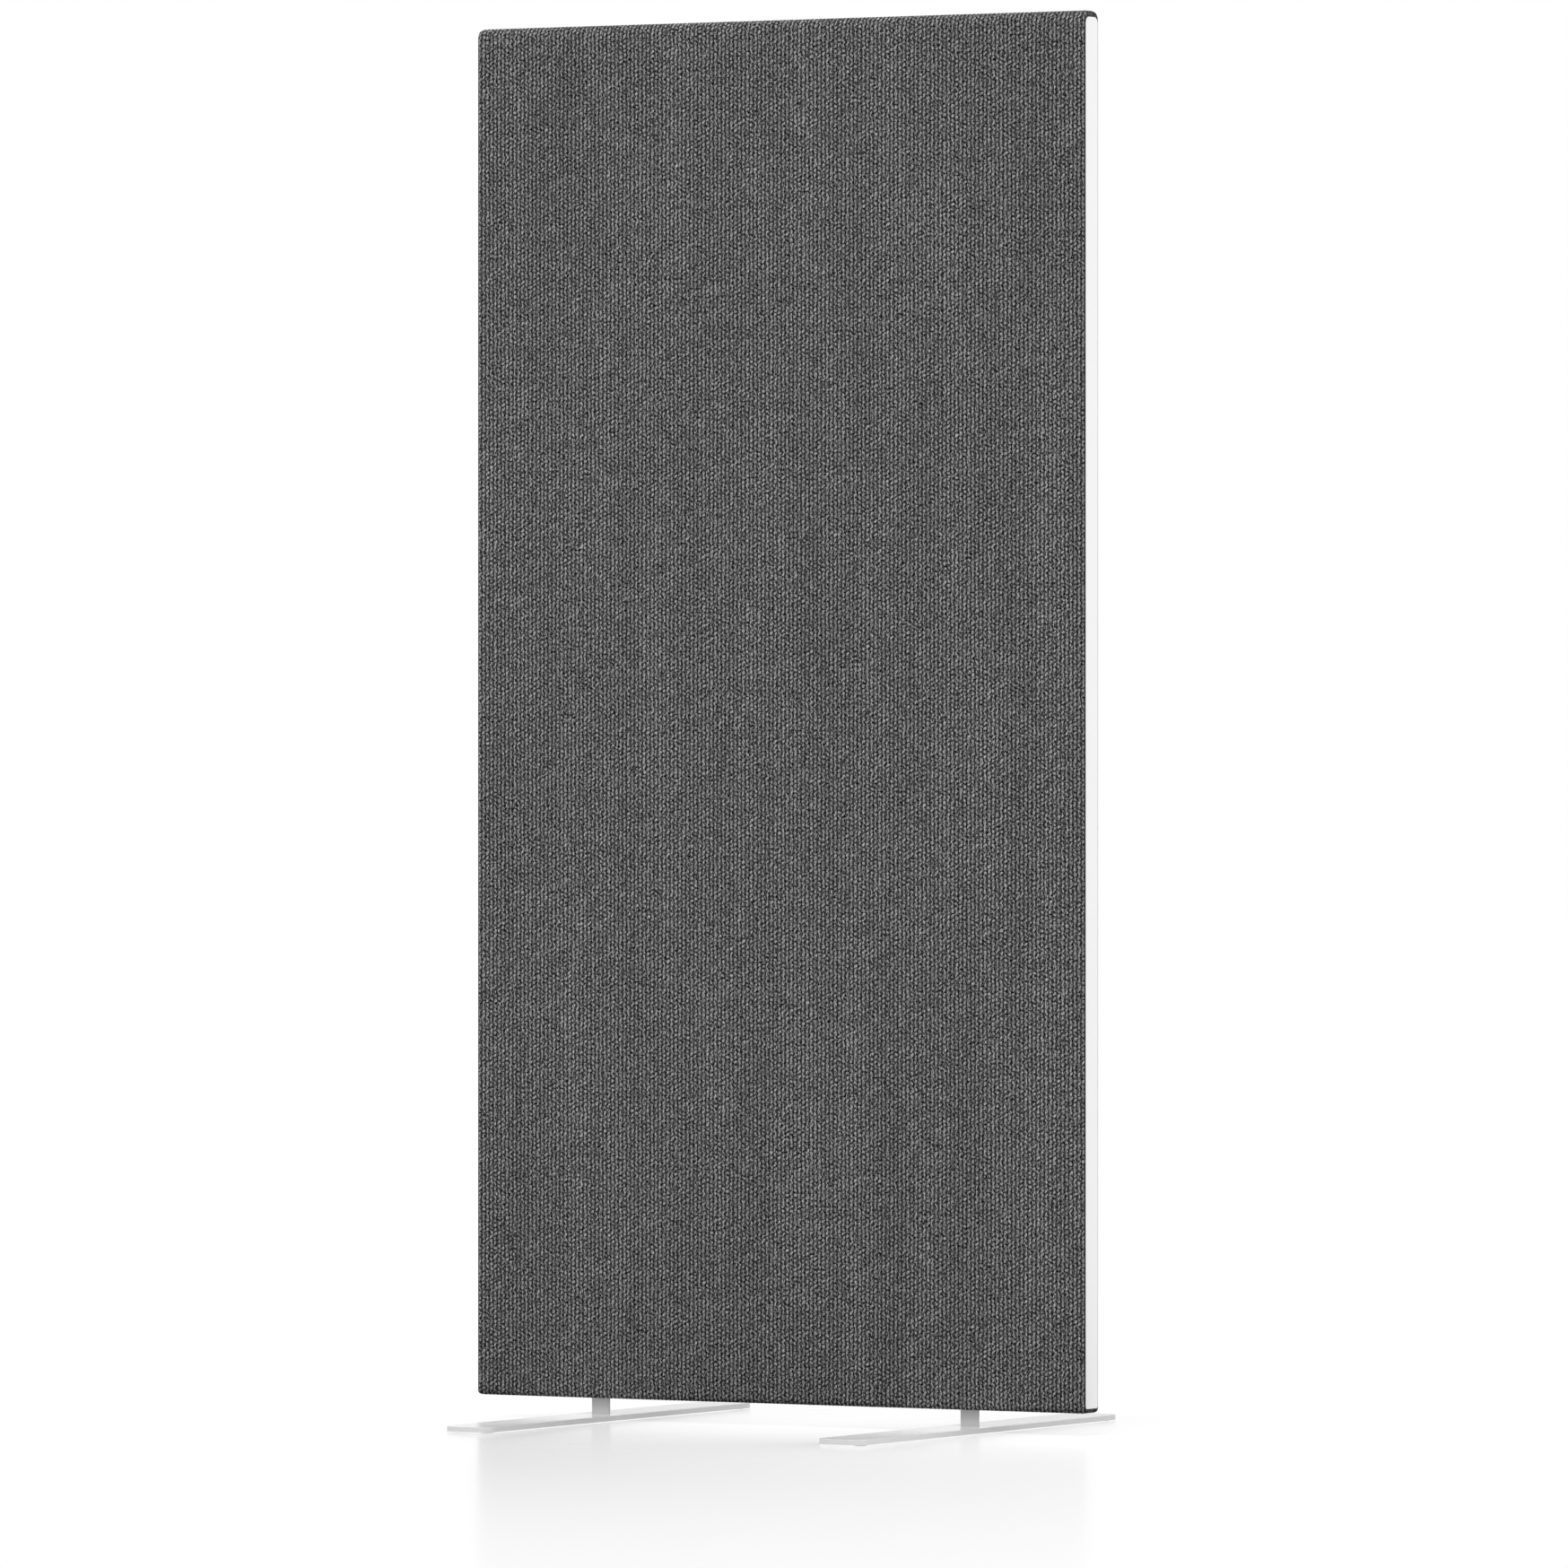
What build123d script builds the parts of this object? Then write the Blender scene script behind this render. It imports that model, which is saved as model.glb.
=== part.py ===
from build123d import *
import os

# Office floor screen: an upholstered acoustic panel that stands on two flat steel feet.
# All lengths are in millimetres. The origin lies on the floor under the middle of the
# panel. +X runs along the panel, to the right seen from the front, the front face looks
# along -Y, and +Z is up. Left and right are those of someone who looks at the front.

# Panel, measured over its cover
panel_width = 800.0
panel_height = 1574.0
panel_thickness = 30.0
floor_gap = 26.0
top_edge_radius = 12.0
bottom_edge_radius = 5.0
corner_radius = 3.5

# Knitted cover, one piece folded over the top
fabric_thickness = 1.2
flap_gap = 2.0
stem_slit_clearance = 0.3

# Wadding between the cover and the frame
wadding_thickness = 3.0

# Timber frame
stile_width = 45.0
top_rail_height = 45.0
middle_rail_height = 45.0
middle_rail_share = 0.5
bottom_rail_height = 100.0
least_edge_radius = 0.5

# Dowels that join the rails to the stiles, two to a joint
dowel_diameter = 8.0
dowel_length = 40.0
dowel_clearance = 0.1
dowel_end_clearance = 0.5
dowel_height_shares = (0.28, 0.72)

# Sound-absorbing slabs in the two fields of the frame
core_clearance = 0.5

# White strip that closes each upright edge and holds the cover in its groove
strip_thickness = 1.0
strip_edge_radius = 0.45
strip_edge_wall_share = 0.9
strip_side_margin = 1.0
strip_top_margin = 7.0
strip_bottom_margin = 5.0
strip_top_radius = 7.5
strip_bottom_radius = 3.0
strip_seat_clearance = 0.2
tongue_depth = 9.0
tongue_thickness = 1.4
tongue_end_inset = 15.0
barb_count = 3
barb_height = 0.5
barb_neck = 1.5
groove_clearance = 0.5

# Staples that hold the two flaps of the cover under the bottom rail
staple_crown = 10.0
staple_leg = 8.0
staple_wire_width = 1.0
staple_wire_height = 0.6
staple_pitch = 80.0
staple_row_offset = 6.0
staple_margin = 12.0

# Feet: a flat plate across the panel, with an upright flat bar as stem
foot_length = 600.0
foot_width = 62.0
foot_thickness = 6.0
foot_corner_radius = 20.0
foot_edge_radius = 0.6
foot_end_inset = 157.0
stem_width = 22.0
stem_thickness = 5.0
stem_edge_radius = 0.5
stem_insertion = 70.0

# Weld under each plate, in a bevelled seat round the end of the stem
weld_depth = 1.5
weld_leg = 2.0

# Round glide pads under each plate
pad_diameter = 16.0
pad_thickness = 1.0
pad_end_inset = 22.0
pad_side_inset = 14.0

# Steel sockets in the bottom rail, with a nylon liner, that take the stems
liner_wall = 1.0
socket_wall = 1.5
socket_end_wall = 2.0
socket_flange_length = 64.0
socket_flange_width = 16.0
socket_flange_thickness = 2.0
socket_clearance = 0.2

# Countersunk wood screws that hold the sockets
screw_head_diameter = 7.0
screw_shank_diameter = 3.5
screw_length = 25.0
screw_tip_length = 5.0
screw_clearance = 0.1
screw_end_inset = 8.0

# How far a cutting solid runs past the face that it cuts
overrun = 5.0

# Levels and widths that follow from the sizes above
panel_bottom = floor_gap
panel_top = floor_gap + panel_height
frame_bottom = panel_bottom + fabric_thickness
wadding_top = panel_top - fabric_thickness
frame_top = wadding_top - wadding_thickness
frame_width = panel_width - 2 * (strip_thickness + fabric_thickness)
frame_depth = panel_thickness - 2 * (fabric_thickness + wadding_thickness)
wadding_depth = panel_thickness - 2 * fabric_thickness
field_width = frame_width - 2 * stile_width
strip_width = panel_thickness - 2 * strip_side_margin
strip_bottom = panel_bottom + strip_bottom_margin
strip_top = panel_top - strip_top_margin
tongue_bottom = strip_bottom + tongue_end_inset
tongue_top = strip_top - tongue_end_inset
barb_reach = tongue_thickness / 2 + barb_height
plate_bottom = pad_thickness
plate_top = plate_bottom + foot_thickness
stem_bottom = plate_bottom + weld_depth
stem_top = frame_bottom + stem_insertion
bottom_rail_top = frame_bottom + bottom_rail_height
top_rail_bottom = frame_top - top_rail_height
middle_rail_centre = bottom_rail_top + middle_rail_share * (top_rail_bottom - bottom_rail_top)
middle_rail_bottom = middle_rail_centre - middle_rail_height / 2
middle_rail_top = middle_rail_centre + middle_rail_height / 2
rail_levels = (
    (frame_bottom, bottom_rail_top),
    (middle_rail_bottom, middle_rail_top),
    (top_rail_bottom, frame_top),
)
side_signs = {"left": -1, "right": 1}


def block(x, y, z):
    """A box from its low and high limits along each axis."""
    size = (x[1] - x[0], y[1] - y[0], z[1] - z[0])
    centre = ((x[0] + x[1]) / 2, (y[0] + y[1]) / 2, (z[0] + z[1]) / 2)
    return Pos(*centre) * Box(*size)


def centred(width, middle=0):
    """The low and high limit of a width about a middle."""
    return (middle - width / 2, middle + width / 2)


def inner_radius(radius, inset):
    """The radius of a rounded edge on a layer that lies further in."""
    return max(radius - inset, least_edge_radius)


def side_profile(depth, bottom, top, bottom_radius, top_radius):
    """The rounded upright section that the panel shows at its end."""
    outline = Rectangle(depth, top - bottom)
    outline = fillet(outline.vertices().group_by(Axis.Y)[-1], top_radius)
    outline = fillet(outline.vertices().group_by(Axis.Y)[0], bottom_radius)
    return Plane.YZ * Pos(0, (bottom + top) / 2) * outline


def panel_layer(width, depth, bottom, top, inset):
    """A layer of the panel as a solid, with its edges and corners rounded."""
    section = side_profile(
        depth,
        bottom,
        top,
        inner_radius(bottom_edge_radius, inset),
        inner_radius(top_edge_radius, inset),
    )
    bar = extrude(section, amount=width / 2, both=True)
    face = RectangleRounded(width, top - bottom, inner_radius(corner_radius, inset))
    face = Plane.XZ * Pos(0, (bottom + top) / 2) * face
    return bar & extrude(face, amount=depth, both=True)


def frame_bar():
    """The full section of the timber frame, along the whole width."""
    outline = Rectangle(frame_depth, frame_top - frame_bottom)
    top_radius = inner_radius(top_edge_radius, fabric_thickness + wadding_thickness)
    outline = fillet(outline.vertices().group_by(Axis.Y)[-1], top_radius)
    section = Plane.YZ * Pos(0, (frame_bottom + frame_top) / 2) * outline
    return extrude(section, amount=frame_width / 2, both=True)


cavity = panel_layer(frame_width, wadding_depth, frame_bottom, wadding_top, fabric_thickness)
frame_solid = cavity & frame_bar()


def one(shape):
    """The single solid of a shape."""
    return shape.solids().sort_by(SortBy.VOLUME)[-1]


def group(solids):
    """Separate like solids that share one node."""
    return Compound(children=list(solids))


def foot_x(side):
    """The place of a foot along the panel."""
    return side_signs[side] * (panel_width / 2 - foot_end_inset)


# Dowels and their holes lie along X across each joint of a rail and a stile.
def dowel_rods(diameter, length):
    rods = []
    for sign in side_signs.values():
        for low, high in rail_levels:
            for share in dowel_height_shares:
                place = Pos(sign * field_width / 2, 0, low + share * (high - low))
                rods.append(place * Rot(0, 90, 0) * Cylinder(diameter / 2, length))
    return rods


dowel_holes = dowel_rods(
    dowel_diameter + 2 * dowel_clearance, dowel_length + 2 * dowel_end_clearance
)


def make_stile(side):
    """An upright of the frame, grooved on its outer face for the strip's tongue."""
    sign = side_signs[side]
    outer = sign * frame_width / 2
    inner = sign * field_width / 2
    slab = block(sorted((inner, outer)), centred(panel_thickness), (panel_bottom, panel_top))
    stile = frame_solid & slab
    floor_of_groove = outer - sign * (tongue_depth + groove_clearance)
    groove = block(
        sorted((floor_of_groove, outer + sign * overrun)),
        centred(2 * (barb_reach + fabric_thickness)),
        (tongue_bottom - groove_clearance, tongue_top + groove_clearance),
    )
    return stile - groove - dowel_holes


def make_rail(low, high):
    """A cross member of the frame, between the stiles."""
    slab = block(centred(field_width), centred(panel_thickness), (low, high))
    return (frame_solid & slab) - dowel_holes


# Screws of a socket, seen from the middle of the socket's flange
screw_offset = socket_flange_length / 2 - screw_end_inset
head_height = (screw_head_diameter - screw_shank_diameter) / 2


def wood_screw(clearance):
    """A countersunk screw that points up, with its head's face at level 0."""
    head_radius = screw_head_diameter / 2 + clearance
    shank_radius = screw_shank_diameter / 2 + clearance
    tip = screw_length + clearance
    outline = Polyline(
        (0, 0),
        (head_radius, 0),
        (shank_radius, head_height),
        (shank_radius, tip - screw_tip_length),
        (0, tip),
        close=True,
    )
    return revolve(Plane.XZ * make_face(outline), axis=Axis.Z)


def socket_screws(side, clearance=0):
    """The two screws of a socket, in place."""
    places = [foot_x(side) + sign * screw_offset for sign in side_signs.values()]
    return [Pos(place, 0, frame_bottom) * wood_screw(clearance) for place in places]


liner_size = (stem_width + 2 * liner_wall, stem_thickness + 2 * liner_wall)
socket_size = (liner_size[0] + 2 * socket_wall, liner_size[1] + 2 * socket_wall)


def upright_bar(side, size, low, high):
    """A rectangular bar on a foot's axis."""
    return block(centred(size[0], foot_x(side)), centred(size[1]), (low, high))


def socket_envelope(side, clearance=0):
    """The outside of a socket: a sleeve and its flange, flush with the rail."""
    grown = (socket_size[0] + 2 * clearance, socket_size[1] + 2 * clearance)
    sleeve = upright_bar(side, grown, frame_bottom, stem_top + socket_end_wall + clearance)
    grown = (socket_flange_length + 2 * clearance, socket_flange_width + 2 * clearance)
    flange_top = frame_bottom + socket_flange_thickness
    return sleeve + upright_bar(side, grown, frame_bottom, flange_top)


def make_socket(side):
    """A steel sleeve with a screw flange and a closed end that the stem bears on."""
    hollow = upright_bar(side, liner_size, frame_bottom - overrun, stem_top)
    return socket_envelope(side) - hollow - socket_screws(side, screw_clearance)


def make_liner(side):
    """A nylon sleeve that grips the stem inside the socket."""
    stem = (stem_width, stem_thickness)
    outside = upright_bar(side, liner_size, frame_bottom, stem_top)
    return outside - upright_bar(side, stem, frame_bottom - overrun, stem_top + overrun)


def staple_places():
    """Places of the staples along the rail, clear of the socket flanges."""
    flange_half = socket_flange_length / 2
    stops = [
        (-field_width / 2, foot_x("left") - flange_half),
        (foot_x("left") + flange_half, foot_x("right") - flange_half),
        (foot_x("right") + flange_half, field_width / 2),
    ]
    places = []
    for start, end in stops:
        room = end - start - 2 * staple_margin
        steps = max(round(room / staple_pitch), 1)
        for step in range(steps + 1):
            places.append(start + staple_margin + room * step / steps)
    return places


def staple(x, y):
    """A staple driven up through the flap of the cover into the rail."""
    crown_bottom = panel_bottom - staple_wire_height
    deep = centred(staple_wire_width, y)
    crown = block(centred(staple_crown, x), deep, (crown_bottom, panel_bottom))
    shape = crown
    for sign in side_signs.values():
        middle = x + sign * (staple_crown - staple_wire_height) / 2
        leg = centred(staple_wire_height, middle)
        shape += block(leg, deep, (crown_bottom, panel_bottom + staple_leg))
    return one(shape)


staples = [
    staple(x, sign * staple_row_offset) for x in staple_places() for sign in side_signs.values()
]


def make_bottom_rail():
    """The bottom rail, pocketed for the sockets, with their screw and staple holes."""
    rail = make_rail(*rail_levels[0])
    for side in side_signs:
        rail -= socket_envelope(side, socket_clearance)
        rail -= socket_screws(side, screw_clearance)
    return rail - staples


def make_core_slab(low, high):
    """A stiff absorber slab that fills one field of the frame."""
    width = centred(field_width - 2 * core_clearance)
    return block(width, centred(frame_depth), (low + core_clearance, high - core_clearance))


def make_wadding(sign):
    """The soft layer on one face, carried up to the ridge of the top edge."""
    half = block(
        centred(panel_width),
        sorted((0, sign * panel_thickness)),
        (panel_bottom, panel_top),
    )
    return (cavity - frame_bar()) & half


def strip_flange(clearance=0, proud=0):
    """The face of the right strip, or the seat for it when a clearance is given."""
    outline = side_profile(
        strip_width + 2 * clearance,
        strip_bottom - clearance,
        strip_top + clearance,
        strip_bottom_radius + clearance,
        strip_top_radius + clearance,
    )
    start = Pos(panel_width / 2 - strip_thickness, 0, 0)
    return extrude(start * outline, amount=strip_thickness + proud)


def make_strip():
    """The right edge strip: a flat face and a barbed tongue in one extrusion."""
    face = strip_flange()
    rim = face.faces().sort_by(Axis.X)[-1].edges()
    face = fillet(rim, min(strip_edge_radius, strip_edge_wall_share * strip_thickness))
    core = tongue_thickness / 2
    pitch = (tongue_depth + fabric_thickness - barb_neck) / barb_count
    upper = [(0, core), (-barb_neck, core)]
    for barb in range(barb_count):
        root = barb_neck + barb * pitch
        upper.append((-root, barb_reach))
        upper.append((-root - pitch, core))
    lower = [(x, -y) for x, y in reversed(upper)]
    teeth = make_face(Polyline(*upper, *lower, close=True))
    start = Pos(panel_width / 2 - strip_thickness, 0, tongue_bottom)
    tongue = extrude(start * teeth, amount=tongue_top - tongue_bottom)
    return face + tongue


def tucked_edges():
    """The two edges of the cover that the right strip's tongue holds in the groove."""
    edge = frame_width / 2
    lips = []
    for sign in side_signs.values():
        deep = sorted((sign * barb_reach, sign * (barb_reach + fabric_thickness)))
        lips.append(block((edge - tongue_depth, edge), deep, (tongue_bottom, tongue_top)))
    return lips


def make_cover():
    """The knitted cover: both faces, the top, the ends and the two flaps below."""
    outside = panel_layer(panel_width, panel_thickness, panel_bottom, panel_top, 0)
    cover = outside - cavity
    seat = strip_flange(strip_seat_clearance, overrun)
    slot = block(
        (frame_width / 2 - overrun, panel_width / 2),
        centred(2 * barb_reach),
        (tongue_bottom - groove_clearance, tongue_top + groove_clearance),
    )
    for right_tool in (seat, slot):
        cover = cover - right_tool - mirror(right_tool, about=Plane.YZ)
    for lip in tucked_edges():
        cover = cover + lip + mirror(lip, about=Plane.YZ)
    cover -= block(centred(field_width), centred(flap_gap), (panel_bottom - overrun, frame_bottom))
    slit = (stem_width + 2 * stem_slit_clearance, stem_thickness + 2 * stem_slit_clearance)
    for side in side_signs:
        cover -= upright_bar(side, slit, panel_bottom - overrun, frame_bottom)
    return cover - staples


def weld_seat(side):
    """The bevelled weld metal round the lower end of a stem."""
    wide = Rectangle(stem_width + 2 * weld_leg, stem_thickness + 2 * weld_leg)
    narrow = Rectangle(stem_width, stem_thickness)
    low = Pos(foot_x(side), 0, plate_bottom) * wide
    high = Pos(foot_x(side), 0, stem_bottom) * narrow
    return loft([low, high], ruled=True)


def make_stem(side):
    """The upright flat bar of a foot."""
    bar = upright_bar(side, (stem_width, stem_thickness), stem_bottom, stem_top)
    return fillet(bar.edges().filter_by(Axis.Z), stem_edge_radius)


def make_plate(side):
    """The flat plate of a foot, slotted for its stem."""
    outline = RectangleRounded(foot_width, foot_length, foot_corner_radius)
    plate = extrude(Pos(foot_x(side), 0, plate_bottom) * outline, amount=foot_thickness)
    plate = fillet(plate.faces().sort_by(Axis.Z)[-1].edges(), foot_edge_radius)
    stem = (stem_width, stem_thickness)
    return plate - upright_bar(side, stem, stem_bottom, plate_top + overrun) - weld_seat(side)


def make_pads(side):
    """The four glide pads under a foot."""
    pads = []
    for x_sign in side_signs.values():
        for y_sign in side_signs.values():
            x = foot_x(side) + x_sign * (foot_width / 2 - pad_side_inset)
            y = y_sign * (foot_length / 2 - pad_end_inset)
            pads.append(Pos(x, y, pad_thickness / 2) * Cylinder(pad_diameter / 2, pad_thickness))
    return pads


strip = make_strip()
parts = {
    "stile_left": make_stile("left"),
    "stile_right": make_stile("right"),
    "bottom_rail": make_bottom_rail(),
    "middle_rail": make_rail(*rail_levels[1]),
    "top_rail": make_rail(*rail_levels[2]),
    "frame_dowels": group(dowel_rods(dowel_diameter, dowel_length)),
    "core_slab_lower": make_core_slab(bottom_rail_top, middle_rail_bottom),
    "core_slab_upper": make_core_slab(middle_rail_top, top_rail_bottom),
    "front_wadding": make_wadding(-1),
    "back_wadding": make_wadding(1),
    "fabric_cover": make_cover(),
    "cover_staples": group(staples),
    "edge_strip_right": strip,
    "edge_strip_left": mirror(strip, about=Plane.YZ),
}
for side in side_signs:
    parts[f"stem_socket_{side}"] = make_socket(side)
    parts[f"socket_liner_{side}"] = make_liner(side)
    parts[f"socket_screws_{side}"] = group(socket_screws(side))
    parts[f"foot_plate_{side}"] = make_plate(side)
    parts[f"foot_stem_{side}"] = make_stem(side)
    parts[f"stem_weld_{side}"] = weld_seat(side)
    parts[f"foot_pads_{side}"] = group(make_pads(side))

os.makedirs("parts", exist_ok=True)
for name, shape in parts.items():
    export_step(shape, f"parts/{name}.step")
    print(name, len(shape.solids()), round(shape.volume))
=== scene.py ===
import math

import bmesh
import bpy
import numpy as np
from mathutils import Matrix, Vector, noise


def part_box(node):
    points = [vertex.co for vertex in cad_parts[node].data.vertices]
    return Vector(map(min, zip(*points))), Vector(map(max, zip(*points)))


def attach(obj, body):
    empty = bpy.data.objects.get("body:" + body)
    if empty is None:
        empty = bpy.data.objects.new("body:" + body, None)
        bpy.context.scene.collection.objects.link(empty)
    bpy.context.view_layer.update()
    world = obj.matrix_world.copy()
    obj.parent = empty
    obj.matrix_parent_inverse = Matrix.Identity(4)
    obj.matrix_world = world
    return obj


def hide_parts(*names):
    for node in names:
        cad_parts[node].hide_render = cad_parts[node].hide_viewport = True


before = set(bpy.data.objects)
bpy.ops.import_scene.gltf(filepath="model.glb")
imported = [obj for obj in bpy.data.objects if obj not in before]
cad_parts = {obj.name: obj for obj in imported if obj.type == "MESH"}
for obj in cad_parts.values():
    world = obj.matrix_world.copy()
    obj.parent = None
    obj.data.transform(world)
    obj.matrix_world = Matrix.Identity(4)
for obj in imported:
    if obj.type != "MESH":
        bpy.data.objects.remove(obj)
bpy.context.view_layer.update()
scene = bpy.context.scene
scene.view_settings.view_transform = "Standard"


# Viewpoint
# The camera stands some fourteen metres away, thirty degrees round from the front, and
# looks level through a long lens. The photograph's horizon lies above its middle.
camera_data = bpy.data.cameras.new("camera")
camera_data.lens = 288.0
camera_data.sensor_width = 36.0
camera_data.shift_y = -0.0499
camera_data.clip_end = 200.0
camera = bpy.data.objects.new("camera", camera_data)
camera.location = (7.1963, -12.3317, 0.8199)
camera.rotation_euler = (math.pi / 2, 0, math.radians(30.266))
scene.collection.objects.link(camera)
scene.camera = camera


# Floor and light
# A white studio floor under an even white sky, glossy before the screen and close round its
# feet, where a soft shade lies too. A broad high lamp in front gives the tone, with weaker
# ones at the right and behind. Before the panel a painted shadow darkens the floor's colour
# for bounced light, so it throws less light back up.
FLOOR_REACH = 30.0
FLOOR_GLOSS = 0.80
FLOOR_GLOSS_MOST = 0.34
FLOOR_GLOSS_FADE = 0.95
FLOOR_GLOSS_PLACE = (-1.0, -0.7, 0.0)
FLOOR_GLOSS_BLUR = 0.18
FLOOR_SHADE = 0.62
FLOOR_SHADE_FADE = 0.16
FLOOR_SHADE_BACK = 0.4
FLOOR_SHADE_BACK_START = 0.15
FLOOR_OPEN_LIGHT = 1.10
FLOOR_GLOW = 1.01
FLOOR_BOUNCE = 0.61
# Painted shadow of the panel in the floor's bounce colour: its depth, its reach before the
# panel, and where it starts and fades beside a foot.
FLOOR_PAINTED_SHADOW = 0.85
FLOOR_PAINTED_SHADOW_REACH = 0.36
FLOOR_PAINTED_SHADOW_GAP = 0.018
FLOOR_PAINTED_SHADOW_FADE = 0.06
FOOT_GLOSS = 0.22
FOOT_GLOSS_FADE = 0.09
FOOT_ROUND = 0.020
SKY_LEVEL = 0.62
WHITE = (1, 1, 1, 1)

# Each lamp's name, the direction toward it, its strength and its spread in degrees.
LAMPS = (
    ("lamp_key", (-0.05, -0.48, 0.876), 2.2, 40.0),
    ("lamp_right", (0.96, -0.05, 0.27), 0.45, 30.0),
    ("lamp_back", (0.80, 0.45, 0.40), 0.60, 40.0),
    ("lamp_back_high", (0.0, 0.62, 0.78), 0.80, 40.0),
)


class Output:
    """An output of a node, its first one unless named. Arithmetic with it adds nodes."""

    def __init__(self, tree, node, name=0):
        self.tree = tree
        self.node = node
        self.name = name

    def __getitem__(self, name):
        return Output(self.tree, self.node, name)

    @property
    def socket(self):
        """The socket itself, to link from."""
        return self.node.outputs[self.name]

    def __add__(self, other):
        return calc("ADD", self, other)

    def __radd__(self, other):
        return calc("ADD", other, self)

    def __sub__(self, other):
        return calc("SUBTRACT", self, other)

    def __rsub__(self, other):
        return calc("SUBTRACT", other, self)

    def __mul__(self, other):
        return calc("MULTIPLY", self, other)

    def __truediv__(self, other):
        return calc("DIVIDE", self, other)

    def __rtruediv__(self, other):
        return calc("DIVIDE", other, self)

    def __abs__(self):
        return calc("ABSOLUTE", self)

    def __gt__(self, other):
        return calc("GREATER_THAN", self, other)

    def __lt__(self, other):
        return calc("LESS_THAN", self, other)


def put(tree, kind, inputs=None, **settings):
    """Adds a node with its settings, and with a value or a link for each input named."""
    node = tree.nodes.new(kind)
    for name, value in settings.items():
        setattr(node, name, value)
    for name, value in (inputs or {}).items():
        if isinstance(value, Output):
            tree.links.new(value.socket, node.inputs[name])
        else:
            node.inputs[name].default_value = value
    return Output(tree, node)


def calc(operation, *values):
    """One step of arithmetic in the node tree that its values belong to."""
    tree = next(value.tree for value in values if isinstance(value, Output))
    return put(tree, "ShaderNodeMath", dict(enumerate(values)), operation=operation)


def ramp(value, start, end, low, high, **settings):
    """Goes from low to high while a value goes from a start to an end, and stays there."""
    limits = {"Value": value, "From Min": start, "From Max": end, "To Min": low, "To Max": high}
    return put(value.tree, "ShaderNodeMapRange", limits, **settings)


def split(vector):
    """The parts X, Y and Z of a vector."""
    return put(vector.tree, "ShaderNodeSeparateXYZ", {0: vector})


def join(tree, **parts):
    """A vector of its parts X, Y and Z, each 0 unless named."""
    return put(tree, "ShaderNodeCombineXYZ", parts)


def length_of(vector):
    """How long a vector is."""
    return put(vector.tree, "ShaderNodeVectorMath", {0: vector}, operation="LENGTH")["Value"]


def seen_directly(tree):
    """1 for the rays that show the surroundings to the camera or in a gloss."""
    path = put(tree, "ShaderNodeLightPath")
    seen = calc("MAXIMUM", path["Is Camera Ray"], path["Is Glossy Ray"])
    return calc("MAXIMUM", seen, path["Is Transmission Ray"])


world = bpy.data.worlds.new("studio")
world.use_nodes = True
scene.world = world
tree = world.node_tree
tree.nodes.clear()
brightness = ramp(seen_directly(tree), 0.0, 1.0, SKY_LEVEL, 1.0)
sky = put(tree, "ShaderNodeBackground", {"Color": WHITE, "Strength": brightness})
put(tree, "ShaderNodeOutputWorld", {"Surface": sky})

for name, direction, strength, spread in LAMPS:
    lamp_data = bpy.data.lights.new(name, "SUN")
    lamp_data.energy = strength
    lamp_data.angle = math.radians(spread)
    lamp = bpy.data.objects.new(name, lamp_data)
    lamp.rotation_euler = Vector(direction).to_track_quat("Z", "Y").to_euler()
    scene.collection.objects.link(lamp)

floor_material = bpy.data.materials.new("studio_floor")
floor_material.use_nodes = True
tree = floor_material.node_tree
tree.nodes.clear()
seen = seen_directly(tree)
place = put(tree, "ShaderNodeTexCoord")["Object"]
parts = split(place)

# How far a spot of the floor lies from the nearer foot, below 0 under the foot itself.
foot_low, foot_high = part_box("foot_plate_right")
foot_x = (foot_low.x + foot_high.x) / 2
foot_half_width = (foot_high.x - foot_low.x) / 2
aside = abs(abs(parts["X"]) - foot_x) - (foot_half_width - FOOT_ROUND)
ahead = abs(parts["Y"]) - (foot_high.y - FOOT_ROUND)
past = join(tree, X=calc("MAXIMUM", aside, 0.0), Y=calc("MAXIMUM", ahead, 0.0))
beside = length_of(past) - FOOT_ROUND
open_floor = beside > 0.0

far = {0: place, 1: FLOOR_GLOSS_PLACE}
far = put(tree, "ShaderNodeVectorMath", far, operation="DISTANCE")["Value"]
front_gloss = calc("EXPONENT", far / -FLOOR_GLOSS_FADE) * FLOOR_GLOSS
front_gloss = calc("MINIMUM", front_gloss, FLOOR_GLOSS_MOST)
foot_gloss = calc("EXPONENT", beside / -FOOT_GLOSS_FADE) * FOOT_GLOSS
gloss_share = (foot_gloss + front_gloss) * open_floor * seen

# Painted shadow: just before the panel, away from the feet, the floor's colour for bounced light
# is darkened.
painted_floor_shadow = ramp(parts["Y"], -FLOOR_PAINTED_SHADOW_REACH, 0.0, 0.0, FLOOR_PAINTED_SHADOW) * (parts["Y"] < 0.0)
painted_floor_shadow = painted_floor_shadow * ramp(beside, FLOOR_PAINTED_SHADOW_GAP, FLOOR_PAINTED_SHADOW_GAP + FLOOR_PAINTED_SHADOW_FADE, 0.0, 1.0)
bounce = put(tree, "ShaderNodeBsdfDiffuse", {"Color": (1.0 - painted_floor_shadow) * FLOOR_BOUNCE})

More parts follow.
